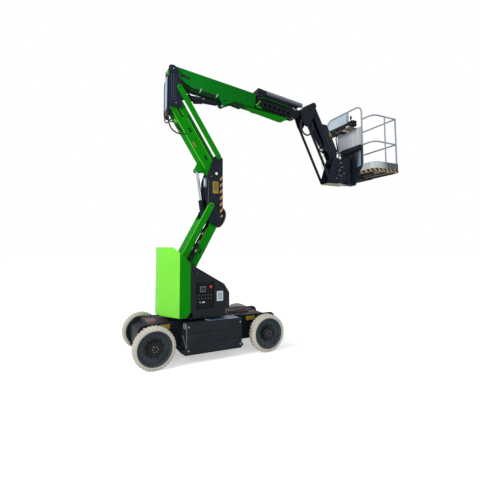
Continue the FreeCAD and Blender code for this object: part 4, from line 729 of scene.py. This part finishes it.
# The black plate stands for the opening in the boom's side; its black is painted shade for the hollow inside.
badges("boom_opening", boom([(0.150, -0.062), (0.305, -0.075), (0.305, -0.030), (0.160, -0.010)]), beam_face,
       0.0012, "main_boom", plastic, 0.018)
badges("boom_opening_hose", boom([(0.190, -0.058), (0.285, -0.066), (0.285, -0.048), (0.190, -0.040)]),
       beam_face + 0.0012, 0.004, "main_boom", ridge_blue, 0.008, 0.0018)
for number, (place, lean) in enumerate(((0.500, 0.016), (0.805, 0.018))):
    corners = [(place, -0.226), (place + 0.022, -0.226), (place + 0.022 + lean, -0.160), (place + lean, -0.160)]
    badges(f"hose_clip_{number}", boom(corners), beam_face, 0.004, "main_boom", clip_grey, 0.003, 0.001)
    badges(f"hose_clip_foot_{number}", boom(oblong(place, -0.219, place + 0.022, -0.214)), 0.046, 0.058,
           "main_boom", clip_grey, 0.001, 0.001)
for side, sign in sides:
    root = at(boom([(0.075, 0.045), (0.115, 0.020), (0.160, -0.015), (0.205, -0.040)]), sign*0.109)
    hose(f"root_hose_{side}", root, 0.008, "main_boom")
    for number, (drop, across) in enumerate(((0.012, 0.088), (0.013, 0.062))):
        line = [(0.085, -0.078), (0.150, -0.098), (0.220, -0.130), (0.290, -0.158), (0.355, -0.182),
                (0.450, -0.188), (0.600, -0.188), (0.720, -0.188), (0.830, -0.187)]
        tip = [(1.12, -0.200), (1.18, -0.196), (1.25, -0.200), (1.31, -0.205), (1.350, -0.205)]
        hose(f"boom_hose_{number}_{side}", at(boom(np.array(line) - (0, drop)), sign*across), 0.012,
             "main_boom", steps=6)
        hose(f"tip_hose_{number}_{side}", at(boom(np.array(tip) - (0, drop)), sign*(across - 0.02)), 0.010,
             "main_boom")
caps("cylinder_eye_cap", boom((0.981, -0.235)), beam_face, 0.020, "main_boom", plastic, 0.003)
lathe("boom_sensor", [(-0.022, 0.0005), (-0.022, 0.012), (-0.016, 0.020), (0.016, 0.020), (0.022, 0.012),
                      (0.022, 0.0005)], at(boom([(1.353, -0.226)]), -0.06)[0], (0, 1, 0), "main_boom", plastic, 24)

# Fly boom's cover and tray: a black channel over the hoses with a grey top and a green trim line,
# a collar at the main boom's mouth, and a trough with round holes on the right side.
slope = (-math.sin(boom_lean), 0, math.cos(boom_lean))
base = boom_pin[0]*slope[0] + boom_pin[1]*slope[2]
cover_black = paint("cover_black", (0.0060, 0.0080, 0.0110), gloss=0.05, dust=0.03)
cover_fade = paint("cover_grey_top", (0.0070, 0.0095, 0.0125), rough=0.35, gloss=0.07, dust=0.03,
                   second=(0.21, 0.235, 0.265), along=slope, low=base + 0.112, high=base + 0.196)
dressed("fly_cover", cover_black, 0.004)
dressed("hose_tray", cover_black, 0.004)
cover_side = 0.127
for name, corners, thick, finish, radius in (
        ("cover_side", [(1.800, 0.108), (2.6430, 0.104), (2.6430, 0.1955), (1.800, 0.1955)], 0.0020, cover_fade, 0.004),
        # The trim line is in the shaded copy of the green, a painted shade.
        ("cover_trim", [(1.700, 0.034), (2.360, 0.024), (2.368, 0.040), (1.705, 0.050)], 0.0020, painted_shade_green, 0.004),
        ("collar_band", [(1.613, -0.186), (1.722, -0.186), (1.722, -0.155), (1.613, -0.135)], 0.0015, green, 0.002)):
    badges(name, boom(corners), cover_side, thick, "fly", finish, radius)
plate("cover_top", boom(oblong(1.800, 0.1975, 2.6430, 0.2000)), -0.128, 0.128, "fly", cover_fade, "xz",
      0.0008, 0.0006)
plate("fly_channel", boom([(1.408, -0.195), (1.60, -0.191), (2.325, -0.178), (2.325, -0.198), (2.290, -0.226),
                           (2.210, -0.236)]), -0.078, 0.078, "fly", green, "xz", 0.006, 0.005)
for number, place in enumerate(((1.809, -0.130, 4.440), (1.845, -0.130, 4.425))):
    lathe(f"fly_end_fitting_{number}", [(0, 0.0005), (0, 0.012), (0.020, 0.012), (0.022, 0.008), (0.045, 0.008),
                                        (0.045, 0.0005)], place, (1, 0, -0.3), "fly", zinc, 10)
spots = at(boom([(place, height) for place in (1.640, 1.700) for height in (0.015, 0.085, 0.165)]), -cover_side)
heads("collar_screws", spots, (0, -1, 0), 0.007, 0.004, "fly", latch_grey, 12)
# The bracket is in the sunlit green, a painted highlight.
hose("fly_bracket", at(boom([(1.590, -0.140), (1.625, -0.125), (1.650, -0.090), (1.668, -0.050)]), -0.137),
     0.008, "fly", highlight_green)
for number, across in enumerate((-0.06, -0.03, 0.0)):
    line = boom([(2.36, -0.150), (2.42, -0.165), (2.48, -0.150), (2.54, -0.100), (2.60, -0.060)])
    hose(f"fly_end_hose_{number}", at(line, across), 0.012, "fly")

# Knuckle, jib and its tie: welded plates and bars painted anthracite, levelled at both ends.
# Hoses loop from the knuckle to the cylinder, and faint folds run down the jib's sides as thin lighter grey strips,
# painted highlights.
for node in ("jib_knuckle", "jib_tie", "jib_arm", "platform_support", "platform_bracket"):
    dressed(node, blue_black, 0.004)
jib = member("jib_lift", -63.1)
fold_highlight_grey = paint("fold_line_grey", (0.060, 0.072, 0.090), rough=0.35, gloss=0.4, dust=0.05)
jib_face = 0.072
for name, joint, body in (("knuckle_pin", "knuckle_level", "knuckle"), ("jib_pin", "jib_lift", "knuckle"),
                          ("jib_end", "platform_level", "platform_support")):
    caps(f"{name}_cap", pins[joint], plate_face, 0.034, body, blue_black)
for number, (low, high, height) in enumerate(((0.16, 1.02, 0.036), (0.50, 1.03, 0.120), (0.50, 1.02, 0.172))):
    badges(f"jib_fold_{number}", jib(oblong(low, height, high, height + 0.005)), jib_face, 0.0025, "jib",
           fold_highlight_grey, 0.001)
badge("yellow_plate_jib", jib(oblong(0.630, 0.145, 0.725, 0.190)), -jib_face, 0.002, "jib", label_yellow, 0.003)
knuckle_bend = ("fly", "knuckle", (2.060, 0, 4.230), (2.230, 0, 3.970))
hose("knuckle_loop", at([
    (2.100, 4.330), (2.090, 4.285), (2.052, 4.240), (2.036, 4.150), (2.055, 4.060), (2.105, 3.985), (2.180, 3.958),
    (2.255, 3.985), (2.315, 4.050), (2.330, 4.140), (2.322, 4.240)], -0.0955), 0.0165, knuckle_bend)
hose("jib_cable", at([(2.600, 3.620), (2.555, 3.540), (2.520, 3.440), (2.525, 3.340), (2.570, 3.285),
                      (2.640, 3.262), (2.700, 3.275)], -0.132), 0.005, "jib", latch_grey)

# Lift cylinders: painted barrels with a gland nut and chromed rods in forged eyes.
# A painted sleeve covers the boom's and the jib's rod eye ends, and a valve block sits under the boom's cylinder.
chrome = paint("chromed_rod", (0.55, 0.58, 0.62), rough=0.18, gloss=0.5, dust=0.03, metal=1.0)
for name in ("tower", "boom", "jib"):
    dressed(f"{name}_cylinder_barrel", blue_black, 0.002)
    dressed(f"{name}_cylinder_rod", chrome, 0.001)
boom_foot, boom_eye = top_foot + (0.045, 0.200), boom((0.976, -0.265))
for name, foot, eye, start, rod, bore, (back, front, end) in (
        ("boom", boom_foot, boom_eye, 0.706, 0.0255, 0.045, (0.050, 0.012, 0.008)),
        ("jib", pins["jib_lift"] - (0.065, 0.240), jib((0.891, -0.125)), 0.616, 0.0215, 0.040,
         (0.040, 0.010, 0.007))):
    low, high = at([foot, eye], 0)
    length = np.linalg.norm(high - low)
    lathe(f"{name}_rod_sleeve", [
        (start, rod), (start, rod + 0.012), (start + 0.006, rod + 0.015), (length - 0.030, rod + 0.015),
        (length - 0.024, rod + 0.010), (length - 0.024, rod)], low, high - low, f"{name}_rod", blue_black, 32)
    lathe(f"{name}_gland", [
        (start - back, bore), (start - back, bore + 0.008), (start - front, bore + 0.008),
        (start - end, bore + 0.004), (start - end, bore)], low, high - low, f"{name}_barrel", blue_black, 6)
barrel = laid_along(boom_foot, (boom_eye - boom_foot)/np.linalg.norm(boom_eye - boom_foot))
for name, corners, low, high, finish, radius, edge in (
        ("valve_block", [(0.265, -0.040), (0.365, -0.040), (0.365, -0.070), (0.285, -0.078)], -0.040, 0.030,
         plastic, 0.006, 0.004),
        ("valve_head", [(0.330, -0.040), (0.440, -0.042), (0.430, -0.064), (0.335, -0.070)], -0.030, 0.020,
         plastic, 0.006, 0.004),
        ("cylinder_label", oblong(0.420, 0, 0.470, 0.025), -0.0515, -0.040, latch_grey, 0.003, 0.001)):
    plate(name, barrel(corners), low, high, "boom_barrel", finish, "xz", radius, edge)
for number, across in enumerate((-0.055, -0.030)):
    line = barrel([(0.300, -0.060), (0.245, -0.020), (0.200, 0.030), (0.150, 0.075), (0.090, 0.105)])
    hose(f"cylinder_hose_{number}", at(line, across), 0.009, "boom_barrel")

# Platform support: the plates at the jib's end carry the turning drive, its hoses and fittings.
# A tan skid closes the underside, and the bracket behind the platform has a bar and a pale panel.
tan_board = paint("tan_underside", (0.40, 0.335, 0.26), rough=0.6, gloss=0.1)
pale_blue = paint("pale_blue_panel", (0.22, 0.30, 0.38), rough=0.3, second=(0.016, 0.021, 0.029),
                  along=(0, 1, 0.15), low=0.255, high=0.345)
plate("skid", oblong(2.700, -0.118, 3.190, 0.118), 3.0140, 3.0185, "platform_support", tan_board, "xy", 0.01, 0.001)
for number, (x, z, size) in enumerate((
        (3.010, 3.548, 0.016), (3.030, 3.470, 0.014), (2.990, 3.300, 0.017), (3.055, 3.380, 0.013),
        (3.025, 3.182, 0.015), (2.900, 3.130, 0.014), (3.100, 3.240, 0.013), (2.960, 3.210, 0.012))):
    profile = [(0, 0.0005), (0, size), (0.016, size), (0.018, size*0.7), (0.034, size*0.7), (0.034, 0.0005)]
    lathe(f"support_fitting_{number}", profile, (x, -plate_face, z), (0.1, -1, 0.15*(-1)**number),
          "platform_support", zinc, 8)
for number, points in enumerate((
        [(3.030, 3.470), (3.060, 3.440), (3.075, 3.400), (3.055, 3.380)],
        [(2.990, 3.300), (2.950, 3.270), (2.940, 3.230), (2.960, 3.210)],
        [(3.025, 3.182), (3.060, 3.160), (3.100, 3.190), (3.100, 3.240)],
        [(2.900, 3.130), (2.950, 3.090), (3.010, 3.110), (3.025, 3.182)])):
    hose(f"support_hose_{number}", at(points, -0.150), 0.010, "platform_support")
bracket_front = 3.4495
for name, corners, back, finish, radius, edge in (
        ("bar", oblong(-0.330, 3.765, 0.205, 3.868), 3.395, blue_black, 0.008, 0.004),
        ("post", oblong(0.140, 3.120, 0.200, 3.780), 3.4390, plastic, 0.008, 0.004),
        ("panel", [(-0.290, 3.430), (-0.150, 3.400), (-0.135, 3.755), (-0.296, 3.755)], 3.4465, pale_blue,
         0.006, 0.001)):
    plate(f"bracket_{name}", corners, back, bracket_front, "platform", finish, "yz", radius, edge)

# Platform: a tread floor in a steel frame, toe boards with hazard stripes and bent grey guard rails.
# The controls stand on a board shelf at the rear, over a folded sheet.
tread = paint("tread_aluminium", (0.26, 0.25, 0.23), rough=0.5, gloss=0.4, dust=0.4)
rail_paint = paint("rail_grey_paint", (0.26, 0.30, 0.36), rough=0.3, gloss=0.3, coat=0.1, dust=0.05)
# The toe boards are pale grey towards the rear and dark grey from X 3.9 forwards; the pale part is a painted highlight
# on the metal.
toe_metal_painted_highlight = paint("toe_board_metal", (0.46, 0.51, 0.53), rough=0.35, gloss=0.3,
                  second=(0.060, 0.070, 0.080), along=(1, 0, 0), low=3.70, high=3.90)
sheet_grey = paint("pale_grey_sheet", (0.47, 0.51, 0.55), dust=0.05)
loop_grey = paint("loop_panel_grey", (0.50, 0.59, 0.68), rough=0.3, gloss=0.4, dust=0.05)
stripes = paint("toe_stripes", (0.010, 0.010, 0.011), rough=0.5, gloss=0.05, dust=0.05,
                second=(0.40, 0.250, 0.135), along=(1.0, -1.0, 1.1), low=0.0290, high=0.0310, period=0.120)
beam_dark = paint("dark_underside", (0.012, 0.014, 0.018), rough=0.6, gloss=0.05, dust=0.05)
shelf_wood = paint("shelf_board", (0.17, 0.135, 0.105), rough=0.6, dust=0.3)
dressed("platform_floor", tread, 0.003, tan_board, lambda middle, normal: normal[2] < -0.5)
dressed("toe_boards", toe_metal_painted_highlight, 0.001)
dressed("guard_rails", rail_paint, 0.0005)
dressed("platform_console", plastic, 0.006)


def band(name, outline, thick, low, high, body, finish):
    """A strip that follows a closed outline: the outline and one outside it, each at two levels."""
    outside = inset(outline, -thick)
    rings = [np.column_stack([shape, np.full(len(shape), level)])
             for shape, level in ((outline, low), (outside, low), (outside, high), (outline, high))]
    piece(name, np.stack(rings), ring_faces(4, len(outline), closed=True), body, finish)


floor_low, floor_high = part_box("platform_floor")
plan = rounded(oblong(floor_low.x, floor_low.y, floor_high.x, floor_high.y), [0.160, 0.004, 0.004, 0.004], 17)
band("toe_hazard_band", plan, 0.0015, 3.2725, 3.3260, "platform", stripes)
for number, (x, wide, near) in enumerate(((3.660, 0.090, -0.38), (3.890, 0.030, -0.53), (4.020, 0.025, -0.55),
                                          (4.140, 0.025, -0.55))):
    plate(f"floor_runner_{number}", oblong(x, 3.2560, x + wide, 3.2705), near, 0.20, "platform", beam_dark, "xz",
          0.003, 0.003)
plate("floor_tray", [(3.520, 0.150), (4.200, 0.070), (4.200, 0.805), (3.520, 0.805)], 3.2540, 3.2700,
      "platform", beam_dark, "xy", 0.02, 0.004)


def folded_sheet(low, high, front, thick, folds):
    """Cross place and height: a thin sheet whose depth is a triangle wave of the cross place,
    fading out towards its top edge, and a second copy a wall behind."""
    across = np.linspace(low[0], high[0], 97)[None, :]
    level = np.linspace(low[1], high[1], 15)[:, None]
    share = (across - low[0])/(high[0] - low[0])*folds
    wave = np.abs((share % 1) - 0.5)*2
    depth = 0.016*wave*(1 - 0.35*(level - low[1])/(high[1] - low[1]))
    outer = np.stack(np.broadcast_arrays(front - thick - depth, across, level), axis=-1)
    return np.concatenate([outer, (outer + (thick, 0, 0))[:, ::-1]], axis=1)


sheet = folded_sheet((-0.276, 3.780), (0.418, 4.298), 3.5125, 0.003, 5)
folded = piece("rear_folded_sheet", sheet, ring_faces(*sheet.shape[:2]), "platform", sheet_grey, 25)
loop_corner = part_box("rear_sheets")[1]
panel = plate("loop_panel", oblong(0.135, 4.430, loop_corner.y, loop_corner.z), loop_corner.x - 0.003, loop_corner.x,
              "platform", loop_grey, "yz", [0.002, 0.002, 0.040, 0.002], 0.001, "grey_sheet")
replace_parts(folded, "rear_sheets")
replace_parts(panel, "rear_sheets")
console_low, console_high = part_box("platform_console")
under = console_low.z
for name, corners, low, high, finish, *shape in (
        ("console_shelf", oblong(3.300, -0.155, 3.506, 0.300), under - 0.014, under - 0.0005, shelf_wood, "xy", 0.02, 0.004),
        ("shelf_stay_0", oblong(3.320, 0.030, 3.500, 0.090), under - 0.030, under - 0.0145, sheet_grey, "xy", 0.006, 0.003),
        ("shelf_stay_1", oblong(3.320, 0.160, 3.500, 0.240), under - 0.030, under - 0.0145, beam_dark, "xy", 0.006, 0.003),
        ("control_box_stay", oblong(3.330, under, 3.390, 4.352), -0.070, -0.001, sheet_grey, "xz", 0.004, 0.003),
        ("control_box", oblong(3.375, 4.335, 3.495, 4.456), -0.165, -0.0005, plastic, "xz", 0.008, 0.006)):
    plate(name, corners, low, high, "platform", finish, *shape)
stick = (3.450, -0.040, 4.456)
lathe("joystick_boot", [(0, 0.0005), (0, 0.030), (0.006, 0.032), (0.012, 0.026), (0.018, 0.027), (0.024, 0.019),
                        (0.030, 0.020), (0.036, 0.011), (0.036, 0.0005)], stick, (0, 0, 1), "platform", plastic, 28)
lathe("joystick", [(0.030, 0.0005), (0.030, 0.010), (0.065, 0.010), (0.071, 0.019), (0.115, 0.022), (0.138, 0.018),
                   (0.146, 0.0005)], stick, (0.03, 0.02, 1), "platform", plastic, 28)
stop_button("platform_stop_button", (console_high.x, 0.10, 4.385), (1, 0, 0), "platform")
heads("console_switches", [(3.475, y, console_high.z) for y in np.arange(0.10, 0.74, 0.08)], (0, 0, 1), 0.009, 0.012,
      "platform", grey, 12)
badge("console_side_plate", oblong(3.420, 4.335, 3.490, 4.410), console_low.y - 0.0001, 0.0015, "platform", latch_grey)
heads("console_face_buttons", [(console_low.x, y, 4.345) for y in (0.36, 0.30, 0.16)], (-1, 0, 0), 0.010, 0.008,
      "platform", latch_grey, 12)
hose("console_cable", [(3.470, 0.440, 4.290), (3.455, 0.437, 4.220), (3.462, 0.430, 4.100), (3.470, 0.420, 3.990),
                       (3.462, 0.405, 3.900), (3.440, 0.300, 3.845)], 0.014, "platform")
hose("panel_edge_tube", [(3.530, 0.139, 4.745), (3.530, 0.150, 4.660), (3.528, 0.150, 4.560), (3.515, 0.120, 4.470),
                         (3.480, 0.040, 4.380), (3.450, -0.040, 4.330), (3.430, -0.070, 4.302)], 0.0130,
     "platform", rail_paint)
heads("rail_bolts", [(x, floor_low.y, 3.36) for x in (3.62, 3.86, 4.10)], (0, -1, 0), 0.008, 0.005, "platform", zinc)

# Studio: a pale floor that keeps the shadow, a soft world, one key lamp and a fill.
scene = bpy.context.scene
floor_paint = bpy.data.materials.new("studio_floor")
floor_paint.use_nodes = True
tree = floor_paint.node_tree
shader = tree.nodes["Principled BSDF"].inputs
shader["Base Color"].default_value = (0.9, 0.9, 0.9, 1)
shader["Roughness"].default_value = 0.9
shader["Emission Color"].default_value = (1, 1, 1, 1)
reach = wired(tree, "VectorMath", {0: wired(tree, "TexCoord", {}, "Object")}, "Value", operation="LENGTH")
lift = wired(tree, "MapRange", {"Value": reach, "From Min": 3.0, "From Max": 12.0, "To Min": 0.48, "To Max": 0.68})
seen = wired(tree, "LightPath", {}, "Is Camera Ray")
tree.links.new(wired(tree, "Math", {0: seen, 1: lift}, operation="MULTIPLY"), shader["Emission Strength"])
turn = np.arange(64)*2*np.pi/64
rim = np.stack([60*np.cos(turn), 60*np.sin(turn), np.zeros(64)], axis=1)
ground = bpy.data.meshes.new("studio_floor")
ground.from_pydata(rim.tolist(), [], [list(range(64))])
ground.materials.append(floor_paint)
floor = bpy.data.objects.new("studio_floor", ground)
scene.collection.objects.link(floor)

world = bpy.data.worlds.new("studio")
scene.world = world
world.use_nodes = True
tree = world.node_tree
soft = tree.nodes["Background"]
soft.inputs["Color"].default_value = (0.93, 0.96, 1.0, 1)
soft.inputs["Strength"].default_value = 0.5
white = wired(tree, "Background", {"Color": (1, 1, 1, 1), "Strength": 1.0})
either = wired(tree, "LightPath", {}, "Is Camera Ray")
for ray in ("Is Glossy Ray", "Is Transmission Ray"):
    either = wired(tree, "Math", {0: either, 1: wired(tree, "LightPath", {}, ray)}, operation="MAXIMUM")
choice = wired(tree, "MixShader", {0: either, 1: soft.outputs["Background"], 2: white})
tree.links.new(choice, tree.nodes["World Output"].inputs["Surface"])


def lamp(name, place, target, size, power, colour):
    """A square soft lamp at a place, facing its target."""
    data = bpy.data.lights.new(name, "AREA")
    data.size = size
    data.energy = power
    data.color = colour
    made = bpy.data.objects.new(name, data)
    scene.collection.objects.link(made)
    away = np.subtract(place, target)
    made.location = place
    made.rotation_euler = (math.atan2(math.hypot(away[0], away[1]), away[2]), 0, math.atan2(away[0], -away[1]))


lamp("key", (-9, -3, 8), (0.3, 0, 2.0), 5, 1000, (1.0, 0.98, 0.94))
lamp("fill", (5, -10, 4), (0.8, 0, 2.2), 6, 220, (0.92, 0.96, 1.0))

# Camera: where the photograph was taken from, worked out from its wheels and upright lines.
camera = bpy.data.cameras.new("camera")
camera.sensor_width = 36
camera.lens = 24.43
camera.shift_x = 0.0048
camera.shift_y = -0.0367
viewer = bpy.data.objects.new("camera", camera)
viewer.location = (-1.910, -5.277, 1.721)
viewer.rotation_euler = (math.radians(94.15), math.radians(0.15), math.radians(-26.0))
scene.collection.objects.link(viewer)
scene.camera = viewer
scene.view_settings.view_transform = "Standard"
